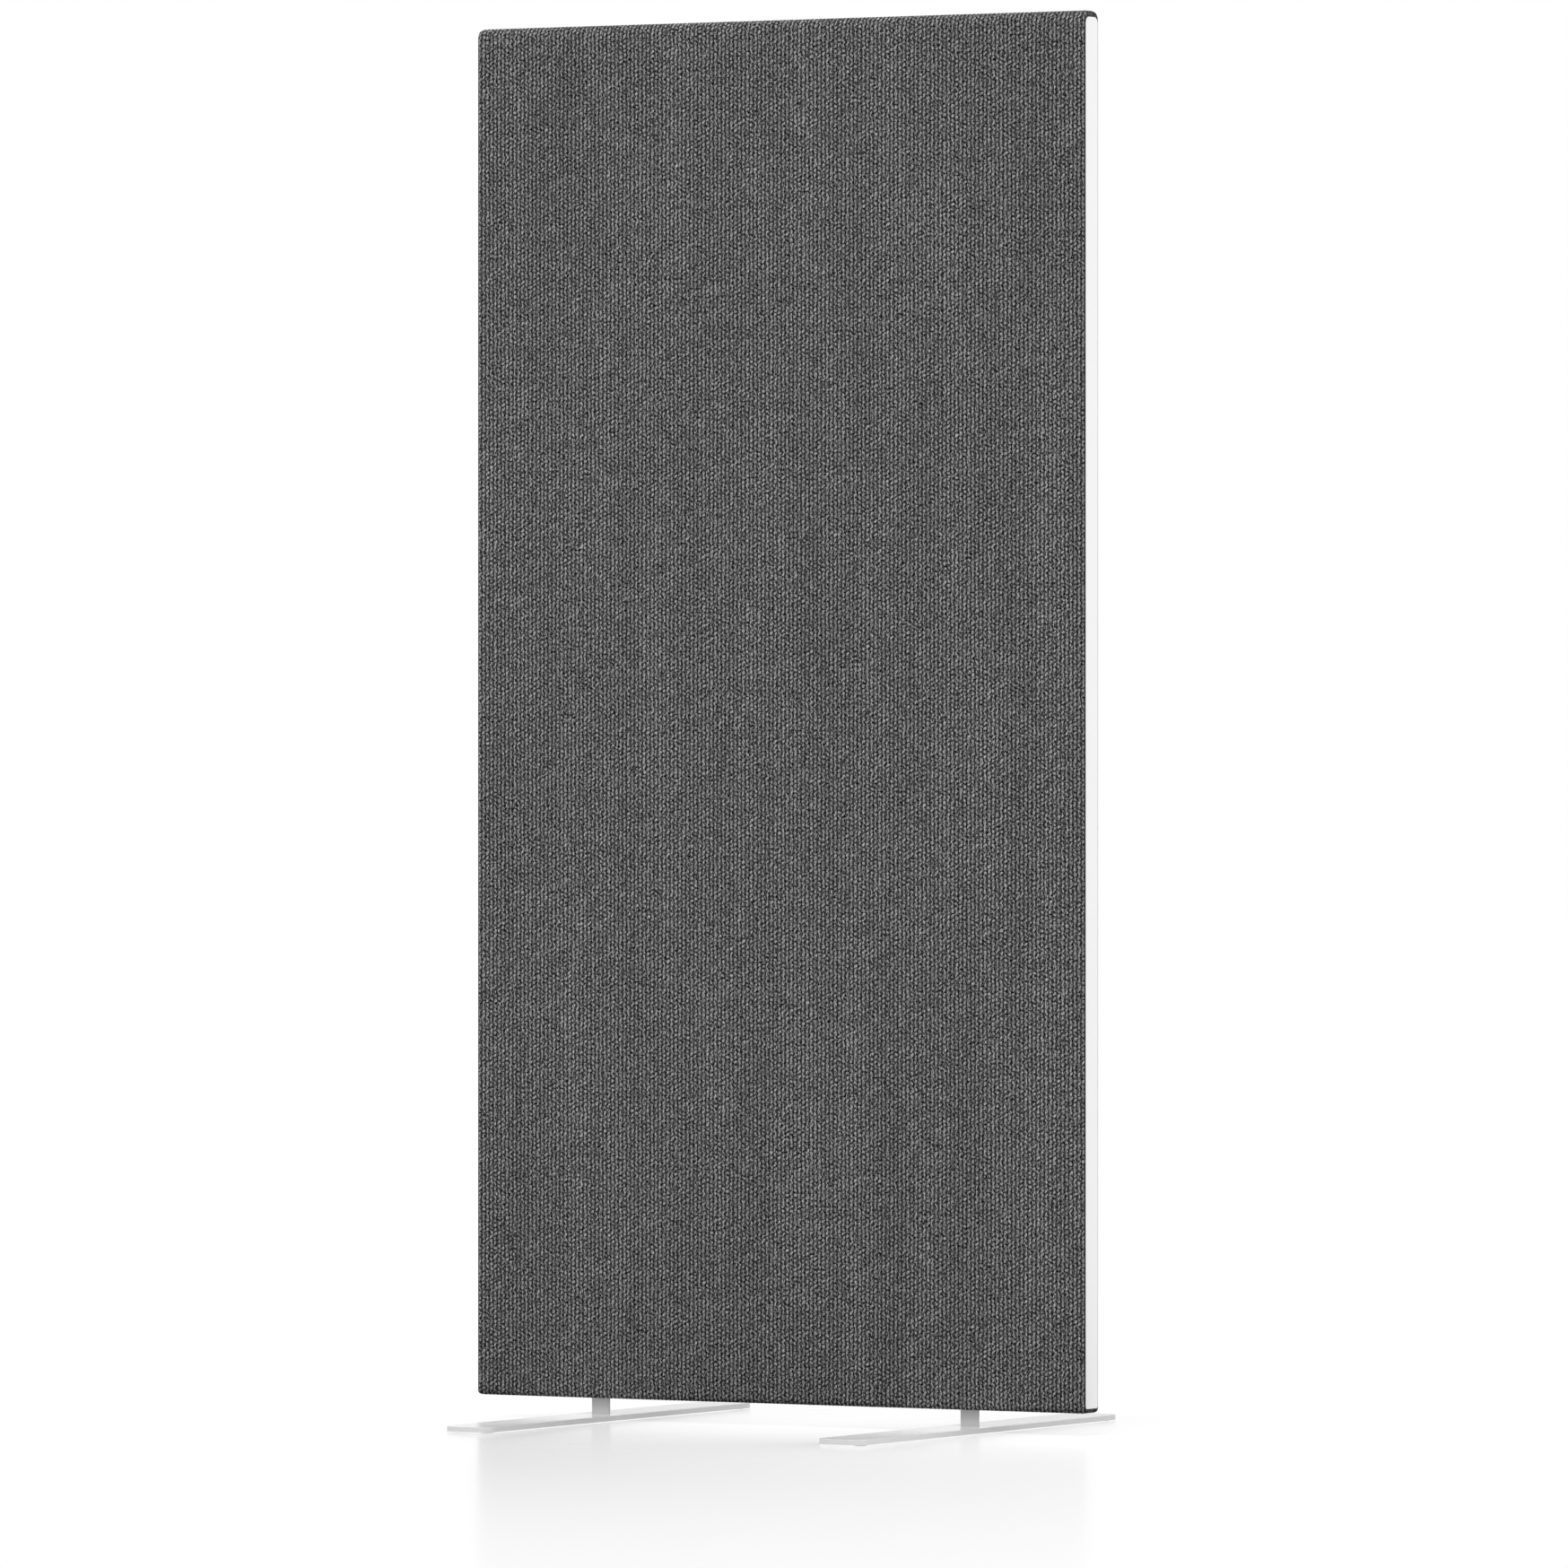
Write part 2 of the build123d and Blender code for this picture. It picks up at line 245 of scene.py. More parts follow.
shade = calc("EXPONENT", beside / -FLOOR_SHADE_FADE) * FLOOR_SHADE * open_floor
shade = shade * ramp(parts["Y"], 0.0, FLOOR_SHADE_BACK_START, 1.0, FLOOR_SHADE_BACK)
shaded = put(tree, "ShaderNodeBsdfDiffuse", {"Color": shade / FLOOR_OPEN_LIGHT})
glow = put(tree, "ShaderNodeEmission", {"Color": WHITE, "Strength": FLOOR_GLOW - shade})
lit = put(tree, "ShaderNodeAddShader", {0: shaded, 1: glow})
matt = put(tree, "ShaderNodeMixShader", {"Fac": seen, 1: bounce, 2: lit})
gloss = put(tree, "ShaderNodeBsdfGlossy", {"Color": WHITE, "Roughness": FLOOR_GLOSS_BLUR})
coated = put(tree, "ShaderNodeMixShader", {"Fac": gloss_share, 1: matt, 2: gloss})
under = put(tree, "ShaderNodeNewGeometry")["Backfacing"]
clear = put(tree, "ShaderNodeBsdfTransparent")
face = put(tree, "ShaderNodeMixShader", {"Fac": under, 1: coated, 2: clear})
put(tree, "ShaderNodeOutputMaterial", {"Surface": face})



def mesh_of(name, verts, faces=()):
    """A mesh of points, and of faces where they are given."""
    mesh = bpy.data.meshes.new(name)
    mesh.from_pydata(verts, [], faces)
    return mesh


corners = [(-1, -1), (1, -1), (1, 1), (-1, 1)]
corners = [(x * FLOOR_REACH, y * FLOOR_REACH, 0) for x, y in corners]
floor_mesh = mesh_of("floor", corners, [(0, 1, 2, 3)])
floor_mesh.materials.append(floor_material)
floor = bpy.data.objects.new("floor", floor_mesh)
scene.collection.objects.link(floor)


# Timber frame
# Five planed softwood bars: two grooved uprights and three cross members, doweled and
# glued. The grain runs along each bar, with its own place in the log.
TIMBER_PALE = (0.66, 0.50, 0.31, 1)
TIMBER_DARK = (0.47, 0.30, 0.15, 1)
TIMBER_RING = 0.0045
GRAIN_STRETCH = 0.06
GRAIN_RELIEF = 0.0002
HEART_ASIDE = 0.06
RING_BEND = 0.022
RING_BEND_SCALE = 9.0
RING_CONTRAST = 2.2
PORE_SCALE = 1400.0
PORE_TINT = 0.35
TIMBER_ROUGH_LEAST, TIMBER_ROUGH_SPREAD = 0.45, 0.25


def finish_material(name, **values):
    """A material with its shader's plain values set, its tree and its object place."""
    material = bpy.data.materials.new(name)
    material.use_nodes = True
    tree = material.node_tree
    shader = next(node for node in tree.nodes if node.type == "BSDF_PRINCIPLED")
    for socket, value in values.items():
        shader.inputs[socket.replace("_", " ")].default_value = value
    place = put(tree, "ShaderNodeTexCoord")["Object"]
    return material, tree, shader, place


def feed(shader, name, output):
    """Lets a node's output set one of a shader's inputs."""
    output.tree.links.new(output.socket, shader.inputs[name])


def group_tree(name, inputs, outputs):
    """An empty shader node group. An input has a default number, or None for a place."""
    tree = bpy.data.node_groups.new(name, "ShaderNodeTree")
    for socket, value in inputs.items():
        kind = "NodeSocketVector" if value is None else "NodeSocketFloat"
        item = tree.interface.new_socket(socket, in_out="INPUT", socket_type=kind)
        if value is not None:
            item.default_value = value
    for socket in outputs:
        tree.interface.new_socket(socket, in_out="OUTPUT", socket_type="NodeSocketFloat")
    return tree, put(tree, "NodeGroupInput")


def mottle(place, scale, detail=2.0, **more):
    """Soft noise over a place, from 0 to 1."""
    inputs = {"Vector": place, "Scale": scale, "Detail": detail, **more}
    return put(place.tree, "ShaderNodeTexNoise", inputs)


def blend_colour(share, first, second, **settings):
    """A colour between two, by a share from 0 to 1."""
    inputs = {"Factor": share, "A": first, "B": second}
    return put(share.tree, "ShaderNodeMix", inputs, data_type="RGBA", **settings)["Result"]


def raise_from(shader, height, depth, strength=1.0):
    """Lets a height between 0 and 1 stand out from the surface by a depth in metres."""
    inputs = {"Height": height, "Distance": depth, "Strength": strength}
    feed(shader, "Normal", put(height.tree, "ShaderNodeBump", inputs))


def dress(material, *nodes):
    """Gives CAD nodes their finished material."""
    for name in nodes:
        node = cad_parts[name]
        if not node.material_slots:
            node.data.materials.append(material)
        for slot in node.material_slots:
            slot.material = material


# Growth rings round a heart beside the bar, bent by slow noise, and fine pores.
wood_figure, given = group_tree(
    "wood figure", {"Along Grain": None, "Ring Width": 0.004}, ("Ring", "Pore")
)
parts = split(given["Along Grain"])
radius = length_of(join(wood_figure, Y=parts["Y"] + HEART_ASIDE, Z=parts["Z"]))
radius = radius + mottle(given["Along Grain"], RING_BEND_SCALE) * RING_BEND
rings = calc("POWER", calc("FRACT", radius / given["Ring Width"]), RING_CONTRAST)
pores = mottle(given["Along Grain"], PORE_SCALE)
put(wood_figure, "NodeGroupOutput", {"Ring": rings, "Pore": pores})


def timber_material(name, turn, pale, dark, ring_width):
    """Planed wood whose grain runs along the axis that the turn brings to X."""
    material, tree, shader, place = finish_material(name, Roughness=0.62)
    turned = {"Vector": place, "Rotation": turn, "Scale": (GRAIN_STRETCH, 1.0, 1.0)}
    turned = put(tree, "ShaderNodeMapping", turned, vector_type="POINT")
    figure = {"Along Grain": turned, "Ring Width": ring_width}
    figure = put(tree, "ShaderNodeGroup", figure, node_tree=wood_figure)
    colour = blend_colour(figure["Ring"], pale, dark)
    colour = blend_colour(figure["Pore"] * PORE_TINT, colour, dark)
    feed(shader, "Base Color", colour)
    feed(shader, "Roughness", figure["Pore"] * TIMBER_ROUGH_SPREAD + TIMBER_ROUGH_LEAST)
    raise_from(shader, figure["Ring"] + figure["Pore"], GRAIN_RELIEF)
    return material


for name, turn, bars in (
    ("timber_across", 0, ("bottom_rail", "middle_rail", "top_rail")),
    ("timber_upright", math.pi / 2, ("stile_left", "stile_right")),
):
    timber = timber_material(name, (0, turn, 0), TIMBER_PALE, TIMBER_DARK, TIMBER_RING)
    dress(timber, *bars)


# Frame dowels
# Turned beech pegs, two to a joint, glued into the ends of the rails. Flutes along them
# let the spare glue out, and both ends are chamfered.
BEECH_PALE = (0.64, 0.45, 0.27, 1)
BEECH_DARK = (0.50, 0.32, 0.17, 1)
BEECH_RING = 0.0016
DOWEL_SEGMENTS = 48
SHARP_ANGLE = math.radians(35)
SAME_POINT = 1e-6
dowel_values = {
    "Radius": 0.004,
    "Length": 0.040,
    "Chamfer": 0.0009,
    "Flutes": 16.0,
    "Flute Depth": 0.0004,
    "Seed": 11,
}


def new_piece(name, mesh, slot, *replaced, sharp=False):
    """A finished piece in the part's own frame, riding on its one body."""
    piece = bpy.data.objects.new(name, mesh)
    scene.collection.objects.link(piece)
    for polygon in mesh.polygons:
        polygon.use_smooth = True
    if sharp:
        mesh.set_sharp_from_angle(angle=SHARP_ANGLE)
    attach(piece, "root")
    if replaced:
        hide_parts(*replaced)
    return piece


def geometry_tree(name, inputs):
    """An empty geometry node tree with named inputs after its geometry."""
    tree = bpy.data.node_groups.new(name, "GeometryNodeTree")
    kinds = {
        float: "NodeSocketFloat",
        int: "NodeSocketInt",
        bpy.types.Material: "NodeSocketMaterial",
    }
    geometry = "NodeSocketGeometry"
    tree.interface.new_socket("Geometry", in_out="INPUT", socket_type=geometry)
    for socket, value in inputs.items():
        tree.interface.new_socket(socket, in_out="INPUT", socket_type=kinds[type(value)])
    tree.interface.new_socket("Geometry", in_out="OUTPUT", socket_type=geometry)
    return tree, put(tree, "NodeGroupInput")


def run_tree(mesh, tree, inputs):
    """Runs a geometry tree on a mesh with its input values, and gives the plain result."""
    carrier = bpy.data.objects.new("carrier", mesh)
    scene.collection.objects.link(carrier)
    modifier = carrier.modifiers.new("build", "NODES")
    modifier.node_group = tree
    for item in tree.interface.items_tree:
        if item.item_type == "SOCKET" and item.in_out == "INPUT" and item.name in inputs:
            modifier[item.identifier] = inputs[item.name]
    graph = bpy.context.evaluated_depsgraph_get()
    result = bpy.data.meshes.new_from_object(
        carrier.evaluated_get(graph), preserve_all_data_layers=True, depsgraph=graph
    )
    result.name = mesh.name
    bpy.data.objects.remove(carrier)
    finish = next(material for material in result.materials if material)
    result.materials.clear()
    result.materials.append(finish)
    return result


def finish_tree(geometry, material):
    """Ends a geometry tree: instances made real, and the material set."""
    real = put(geometry.tree, "GeometryNodeRealizeInstances", {"Geometry": geometry})
    painted = {"Geometry": real, "Material": material}
    painted = put(geometry.tree, "GeometryNodeSetMaterial", painted)
    put(geometry.tree, "NodeGroupOutput", {0: painted})


def merged(mesh):
    """A mesh to work on, with the points that fall together made one."""
    shape = bmesh.new()
    shape.from_mesh(mesh)
    bmesh.ops.remove_doubles(shape, verts=shape.verts, dist=SAME_POINT)
    return shape


def solid_boxes(node):
    """Lowest and highest corner of each separate solid of a CAD node."""
    shape = merged(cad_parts[node].data)
    waiting, boxes = set(shape.verts), []
    while waiting:
        reached = [waiting.pop()]
        for vertex in reached:
            for edge in vertex.link_edges:
                other = edge.other_vert(vertex)
                if other in waiting:
                    waiting.remove(other)
                    reached.append(other)
        columns = list(zip(*(vertex.co for vertex in reached)))
        boxes.append((Vector(map(min, columns)), Vector(map(max, columns))))
    shape.free()
    return sorted(boxes, key=lambda box: tuple(box[0]))


def piece_at_solids(name, node, tree, values, slot, lift=0.0):
    """A piece of like shapes from a geometry tree, one at each solid of a CAD node.

    The lift says how far up its solid a shape's own zero lies: 0 is the underside.
    """
    places = [
        ((low.x + high.x) / 2, (low.y + high.y) / 2, low.z + (high.z - low.z) * lift)
        for low, high in solid_boxes(node)
    ]
    mesh = run_tree(mesh_of(name, places), tree, values)
    return new_piece(name, mesh, slot, node, sharp=True)


def turned_blank(tree, profile, segments):
    """A grid for a turned piece, with the row, angle, radius and height of each point.

    The profile goes from the middle of the low end to the middle of the high end. Each of
    its stops is a radius, a height and the number of rows that lead to it.
    """
    count = sum(stop[2] for stop in profile)
    sides = {"Size X": 1.0, "Size Y": 1.0, "Vertices X": segments + 1, "Vertices Y": count + 1}
    grid = put(tree, "GeometryNodeMeshGrid", sides)
    parts = split(put(tree, "GeometryNodeInputPosition"))
    angle = parts["X"] * (2 * math.pi) + math.pi
    row = (parts["Y"] + 0.5) * float(count)
    last_radius, last_height = profile[0][:2]
    radius, height, done = last_radius, last_height, 0
    for stop_radius, stop_height, rows in profile[1:]:
        radius = radius + ramp(row, done, done + rows, 0.0, stop_radius - last_radius)
        height = height + ramp(row, done, done + rows, 0.0, stop_height - last_height)
        last_radius, last_height, done = stop_radius, stop_height, done + rows
    return grid, row, angle, radius, height


def turn_round(grid, angle, radius, height):
    """Wraps a turned piece's grid round its upright axis and closes it."""
    across, aside = radius * calc("COSINE", angle), radius * calc("SINE", angle)
    moved = {"Geometry": grid, "Position": join(grid.tree, X=across, Y=aside, Z=height)}
    moved = put(grid.tree, "GeometryNodeSetPosition", moved)
    closed = {"Geometry": moved, "Distance": SAME_POINT}
    return put(grid.tree, "GeometryNodeMergeByDistance", closed)


def copies_at(points, piece, **more):
    """The piece at every point."""
    inputs = {"Points": points, "Instance": piece, **more}
    return put(points.tree, "GeometryNodeInstanceOnPoints", inputs)


def turned_copies_at(points, piece, seed, axis):
    """The piece at every point, each turned by chance about its own axis."""
    limits = {"Min": 0.0, "Max": 2 * math.pi, "Seed": seed}
    spin = put(points.tree, "FunctionNodeRandomValue", limits, data_type="FLOAT")["Value"]
    return copies_at(points, piece, Rotation=join(points.tree, **{axis: spin}))


beech = timber_material("beech", (0, 0, 0), BEECH_PALE, BEECH_DARK, BEECH_RING)
dowel_values["Timber"] = beech
tree, given = geometry_tree("dowels", dowel_values)
shoulder = given["Radius"] - given["Chamfer"]
far_edge = given["Length"] - given["Chamfer"]
grid, row, angle, radius, height = turned_blank(
    tree,
    [
        (0.0, 0.0, 0),
        (shoulder, 0.0, 1),
        (given["Radius"], given["Chamfer"], 1),
        (given["Radius"], far_edge, 1),
        (shoulder, given["Length"], 1),
        (0.0, given["Length"], 1),
    ],
    DOWEL_SEGMENTS,
)
flute = calc("MAXIMUM", calc("COSINE", angle * given["Flutes"]), 0.0) * given["Flute Depth"]
on_side = ramp(row, 1.0, 2.0, 0.0, 1.0) - ramp(row, 3.0, 4.0, 0.0, 1.0)
upright_peg = turn_round(grid, angle, radius - flute * on_side, height)
middle = join(tree, X=given["Length"] * -0.5)
peg = {"Geometry": upright_peg, "Translation": middle, "Rotation": (0, math.pi / 2, 0)}
peg = put(tree, "GeometryNodeTransform", peg)
pegs = turned_copies_at(given["Geometry"], peg, given["Seed"], "X")
finish_tree(pegs, given["Timber"])
piece_at_solids("dowel_pegs", "frame_dowels", tree, dowel_values, "dowel_beech", lift=0.5)


# Absorber slabs
# Two stiff boards of pressed grey polyester felt that fill the fields of the frame. Their
# cut edges are a little crushed and their faces keep the marks of the needling.
FELT_PALE = (0.36, 0.37, 0.38, 1)
FELT_DARK = (0.20, 0.21, 0.22, 1)
FELT_EDGE = 0.0016
FELT_EDGE_STEPS = 3
FELT_STEP = 0.012
FELT_RELIEF = 0.00025
FELT_LUMPS = 60.0
FELT_FIBRE = 0.008
FELT_BUMP = 0.0005
STRANDS_PER_FIBRE = 5.0
CLUMP_DARK, CLUMP_PALE = 1 / 12, 11 / 12

# Short fibres in clumps: fine crossed strands over soft patches.
fibre_mat, given = group_tree(
    "fibre mat", {"Place": None, "Fibre Length": 0.006}, ("Strand", "Clump")
)
inverse = 1.0 / given["Fibre Length"]
clumps = mottle(given["Place"], inverse, detail=3.0, Distortion=2.5)
strands = {"Vector": given["Place"], "Scale": inverse * STRANDS_PER_FIBRE, "Randomness": 1.0}
strands = put(fibre_mat, "ShaderNodeTexVoronoi", strands, feature="DISTANCE_TO_EDGE")
put(fibre_mat, "NodeGroupOutput", {"Strand": strands["Distance"], "Clump": clumps})


def fibre_material(name, pale, dark, fibre_length, relief):
    """A soft mat of fibres, matt all over."""
    material, tree, shader, place = finish_material(name, Roughness=0.95, Sheen_Weight=0.25)
    mat = {"Place": place, "Fibre Length": fibre_length}
    mat = put(tree, "ShaderNodeGroup", mat, node_tree=fibre_mat)
    shade = ramp(mat["Clump"], CLUMP_DARK, CLUMP_PALE, 0.0, 1.0)
    feed(shader, "Base Color", blend_colour(shade, dark, pale))
    raise_from(shader, mat["Strand"] + mat["Clump"], relief)
    return material


def unevenness(place, lumps):
    """Chance from 0 to 1 that changes smoothly over a place, with its lumps to the metre."""
    return 0.5 + 0.5 * noise.noise(place * lumps)


def settle(shape, mesh):
    """Writes a worked shape into its mesh."""
    shape.to_mesh(mesh)
    shape.free()
    return mesh


def felt_slab(name, node):
    """A board with softened edges and slightly uneven faces, in its CAD solid's room."""
    low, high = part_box(node)
    middle = (low + high) / 2
    half = (high - low) / 2
    shape = bmesh.new()
    bmesh.ops.create_cube(shape, size=2.0)
    for vertex in shape.verts:
        vertex.co = Vector(a * b for a, b in zip(vertex.co, half)) + middle
    edges = list(shape.edges)
    bmesh.ops.bevel(
        shape, geom=edges, offset=FELT_EDGE, segments=FELT_EDGE_STEPS, affect="EDGES"
    )
    for axis in (0, 2):
        steps = round(2 * half[axis] / FELT_STEP)
        for step in range(1, steps):
            point = middle.copy()
            point[axis] = low[axis] + step * 2 * half[axis] / steps
            normal = Vector((0, 0, 0))
            normal[axis] = 1
            geometry = list(shape.verts) + list(shape.edges) + list(shape.faces)
            bmesh.ops.bisect_plane(shape, geom=geometry, plane_co=point, plane_no=normal)
    shape.normal_update()
    for vertex in shape.verts:
        vertex.co -= vertex.normal * FELT_RELIEF * unevenness(vertex.co, FELT_LUMPS)
    return settle(shape, bpy.data.meshes.new(name))


felt = fibre_material("absorber_felt", FELT_PALE, FELT_DARK, FELT_FIBRE, FELT_BUMP)
for field in ("lower", "upper"):
    node = f"core_slab_{field}"
    mesh = felt_slab(f"felt_slab_{field}", node)
    mesh.materials.append(felt)
    slab = new_piece(f"felt_slab_{field}", mesh, "absorber_felt", node)


# Outline of the panel
# The panel's upright section, from the middle of its underside round the front to the
# middle of its top. The layers of wadding and cover all follow it.
TOP_RADIUS = 0.012
TOP_STOP = 0.0015
BOTTOM_RADIUS = 0.005
CORNER_RADIUS = 0.0035
CLOTH = 0.0012
cover_low, cover_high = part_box("fabric_cover")
half_depth = cover_high.y
panel_bottom = cover_low.z
panel_top = cover_high.z
end_x = cover_high.x


def station(kind, value, inset):
    """Depth and height of a point of the outline, and its outward direction."""
    if kind == "flap":
        return value, panel_bottom + inset, 0.0, -1.0
    if kind == "low":
        across, down = math.sin(value), math.cos(value)
        reach = BOTTOM_RADIUS - inset
        depth = half_depth - BOTTOM_RADIUS + reach * across
        return depth, panel_bottom + BOTTOM_RADIUS - reach * down, across, -down
    if kind == "face":
        return half_depth - inset, value, 1.0, 0.0
    if kind == "high":
        across, up = math.cos(value), math.sin(value)
        reach = TOP_RADIUS - inset
        depth = half_depth - TOP_RADIUS + reach * across
        return depth, panel_top - TOP_RADIUS + reach * up, across, up
    return value, panel_top - inset, 0.0, 1.0


def steps_between(kind, low, high, count):
    """Stops of one kind from low up to and with high, without low itself."""
    return [(kind, low + (high - low) * step / count) for step in range(1, count + 1)]


# Wadding
# A thin sheet of bonded white polyester wadding on each face, under the cover, thinned
# where it turns over the rounded top. It is glued to the frame and lies a little uneven.
WADDING_PALE = (0.86, 0.86, 0.84, 1)
WADDING_DARK = (0.66, 0.66, 0.64, 1)
WADDING_RELIEF = 0.00035
WADDING_LUMPS = 45.0
WADDING_RIM = 1.6
WADDING_FIBRE = 0.012
WADDING_BUMP = 0.0006
WADDING_LOW_STEPS, WADDING_HIGH_STEPS = 3, 6
WADDING_COLUMNS = 90
WADDING_ROWS = 110
frame_half_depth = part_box("top_rail")[1].y


def wadding_mesh(name, node, sign):
    """A closed soft layer: an uneven outer face, a plain inner one and rounded rims."""
    low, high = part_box(node)
    lean = math.asin((frame_half_depth - (half_depth - BOTTOM_RADIUS)) / (BOTTOM_RADIUS - CLOTH))
    face_low, face_high = panel_bottom + BOTTOM_RADIUS, panel_top - TOP_RADIUS
    walk = [("low", lean)]
    walk += steps_between("low", lean, math.pi / 2, WADDING_LOW_STEPS)
    walk += steps_between("face", face_low, face_high, WADDING_ROWS)
    walk += steps_between("high", 0, math.pi / 2, WADDING_HIGH_STEPS)
    walk += [("top", TOP_STOP), ("top", 0.0)]
    drop = half_depth - CLOTH - frame_half_depth
    outer, inner = [], []
    for kind, value in walk:
        outer.append(station(kind, value, CLOTH))
        if kind in ("low", "face"):
            inner.append((frame_half_depth, outer[-1][1]))
        else:
            inner.append(station(kind, value, CLOTH + drop)[:2])
    verts, faces = [], []
    rows, columns = len(walk), WADDING_COLUMNS + 1
    for layer in (0, 1):
        for row in range(rows):
            for column in range(columns):
                x = low.x + (high.x - low.x) * column / WADDING_COLUMNS
                if layer == 0:
                    depth, height, out_y, out_z = outer[row]
                    rim = min(column, WADDING_COLUMNS - column, row)
                    sink = unevenness(Vector((x, sign * depth, height)), WADDING_LUMPS)
                    sink = WADDING_RELIEF * (sink + (WADDING_RIM if rim == 0 and row else 0))
                    depth, height = depth - out_y * sink, height - out_z * sink
                else:
                    depth, height = inner[row]
                verts.append((x, sign * depth, height))
    shift = rows * columns

    def face(*corners):
        faces.append(corners if sign < 0 else corners[::-1])

    for row in range(rows - 1):
        for column in range(columns - 1):
            a = row * columns + column
            b, c, d = a + 1, a + columns + 1, a + columns
            face(a, b, c, d)
            face(d + shift, c + shift, b + shift, a + shift)
    for row in range(rows - 1):
        a, b = row * columns, (row + 1) * columns
        face(a, b, b + shift, a + shift)
        a, b = a + columns - 1, b + columns - 1
        face(b, a, a + shift, b + shift)
    top = (rows - 1) * columns
    for column in range(columns - 1):
        face(column + 1, column, column + shift, column + 1 + shift)
        a, b = top + column, top + column + 1
        face(a, b, b + shift, a + shift)
    mesh = mesh_of(name, verts, faces)
    return settle(merged(mesh), mesh)


wadding = fibre_material("wadding", WADDING_PALE, WADDING_DARK, WADDING_FIBRE, WADDING_BUMP)
for side, sign in (("front", -1), ("back", 1)):
    node = f"{side}_wadding"
    mesh = wadding_mesh(f"wadding_sheet_{side}", node, sign)
    mesh.materials.append(wadding)
    sheet = new_piece(f"wadding_sheet_{side}", mesh, "wadding", node)


# Knitted cover
# One piece of coarse dark grey knit, folded over the top, carried round both ends into the
# grooves and closed by two flaps below. Its wales run straight up both faces and over the
# top. The shell has the cloth's real thickness, with the wales raised on its outside.
WALES = 152
STITCH_PITCH = 0.00528
RIB_HEIGHT = 0.0006
RIB_ROUNDNESS = 0.7
VALLEY_SHARE = 0.35
COLUMNS_PER_WALE = 4
INNER_COLUMN_STEP = 8
FACE_ROWS = 24
COVER_LOW_STEPS, COVER_HIGH_STEPS = 5, 8
FLAP_STOPS = (0.004, 0.007)
LOW_STOPS = (0.006, 0.007, 0.0082)
HIGH_STOPS = (0.0146, 0.0137, 0.0128, TOP_RADIUS)
SIDE_SHARES = (0.25, 0.5, 0.75)
END_SHARES = (0.0, 0.06, 0.15, 0.3, 0.5, 0.75, 1.0)
FOLD_RADIUS = 0.001
FOLD_WIDTH = 0.0008
STRIP_PLATE = 0.001
STRIP_TOP_RADIUS = 0.0075
STRIP_BOTTOM_RADIUS = 0.003
SEAT_GAP = 0.0002
SEAT_ROUND = 0.00015
SEAT_SEARCH = 0.00005
SEAT_MARGIN = 0.001
FLAP_GAP = 0.002
STEM_SLIT = (0.0226, 0.0056)
LIP_DEPTH = 0.009
LIP_OFFSET = 0.0012
GROOVE_MARGIN = 0.0145

wale_pitch = 2 * end_x / WALES
strip_low, strip_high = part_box("edge_strip_right")
seat_x = strip_high.x - STRIP_PLATE - SEAT_GAP
lining_x = seat_x - (CLOTH - SEAT_GAP)
lip_x = lining_x - LIP_DEPTH
seat_low = strip_low.z - SEAT_GAP
seat_high = strip_high.z + SEAT_GAP
seat_half_depth = strip_high.y + SEAT_GAP
slit_low = strip_low.z + GROOVE_MARGIN
slit_high = strip_high.z - GROOVE_MARGIN
stem_low, stem_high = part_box("foot_stem_right")
stem_x = (stem_low.x + stem_high.x) / 2
rail_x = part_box("bottom_rail")[1].x

walk = [("flap", None)] + [("flap", value) for value in FLAP_STOPS]
walk += [("low", 0.0)] + steps_between("low", 0, math.pi / 2, COVER_LOW_STEPS)
walk += [("face", panel_bottom + value) for value in LOW_STOPS]
walk += [("face", slit_low)] + steps_between("face", slit_low, slit_high, FACE_ROWS)
walk += [("face", panel_top - value) for value in HIGH_STOPS]
walk += steps_between("high", 0, math.pi / 2, COVER_HIGH_STEPS)
walk += [("top", TOP_STOP), ("top", 0.0)]
first_slit_row = walk.index(("face", slit_low))
last_slit_row = first_slit_row + FACE_ROWS


def in_seat(depth, height):
    """True under the edge strip, whose two ends have rounded shoulders."""
    if not seat_low <= height <= seat_high or depth > seat_half_depth:
        return False
    for radius, edge, sense in (
        (STRIP_TOP_RADIUS + SEAT_GAP, seat_high, 1),
        (STRIP_BOTTOM_RADIUS + SEAT_GAP, seat_low, -1),
    ):
        past_y = depth - (seat_half_depth - radius)
        past_z = sense * (height - edge) + radius
        if past_y > 0 and past_z > 0 and math.hypot(past_y, past_z) > radius:
            return False
    return True


def seat_distance(depth, height, out_y, out_z):
    """How far inward from the outline the seat of the strip begins."""
    reach = 0.0
    while reach < half_depth and not in_seat(depth - out_y * reach, height - out_z * reach):
        reach += SEAT_SEARCH
    return reach


def corner_x(height):
    """Half the panel's width at a height, with its rounded corners."""
    past = max(height - panel_top, panel_bottom - height) + CORNER_RADIUS
    if past <= 0:
        return end_x
    return end_x - CORNER_RADIUS + math.sqrt(max(CORNER_RADIUS**2 - past**2, 0.0))


def roll(reach):
    """How far the cloth's fold round an upright edge falls back from the end face."""
    if reach >= FOLD_RADIUS:
        return 0.0
    return FOLD_RADIUS - math.sqrt(FOLD_RADIUS**2 - (FOLD_RADIUS - reach) ** 2)


def flap_edge(x):
    """How far the edge of a flap stays from the middle of the underside."""
    if abs(x) > rail_x:
        return 0.0
    if abs(abs(x) - stem_x) < STEM_SLIT[0] / 2:
        return STEM_SLIT[1] / 2
    return FLAP_GAP / 2


def row_station(row, inset):
    """The outline's point for a row. The flap's edge counts as the middle here."""
    kind, value = walk[row]
    return station(kind, 0.0 if value is None else value, inset)


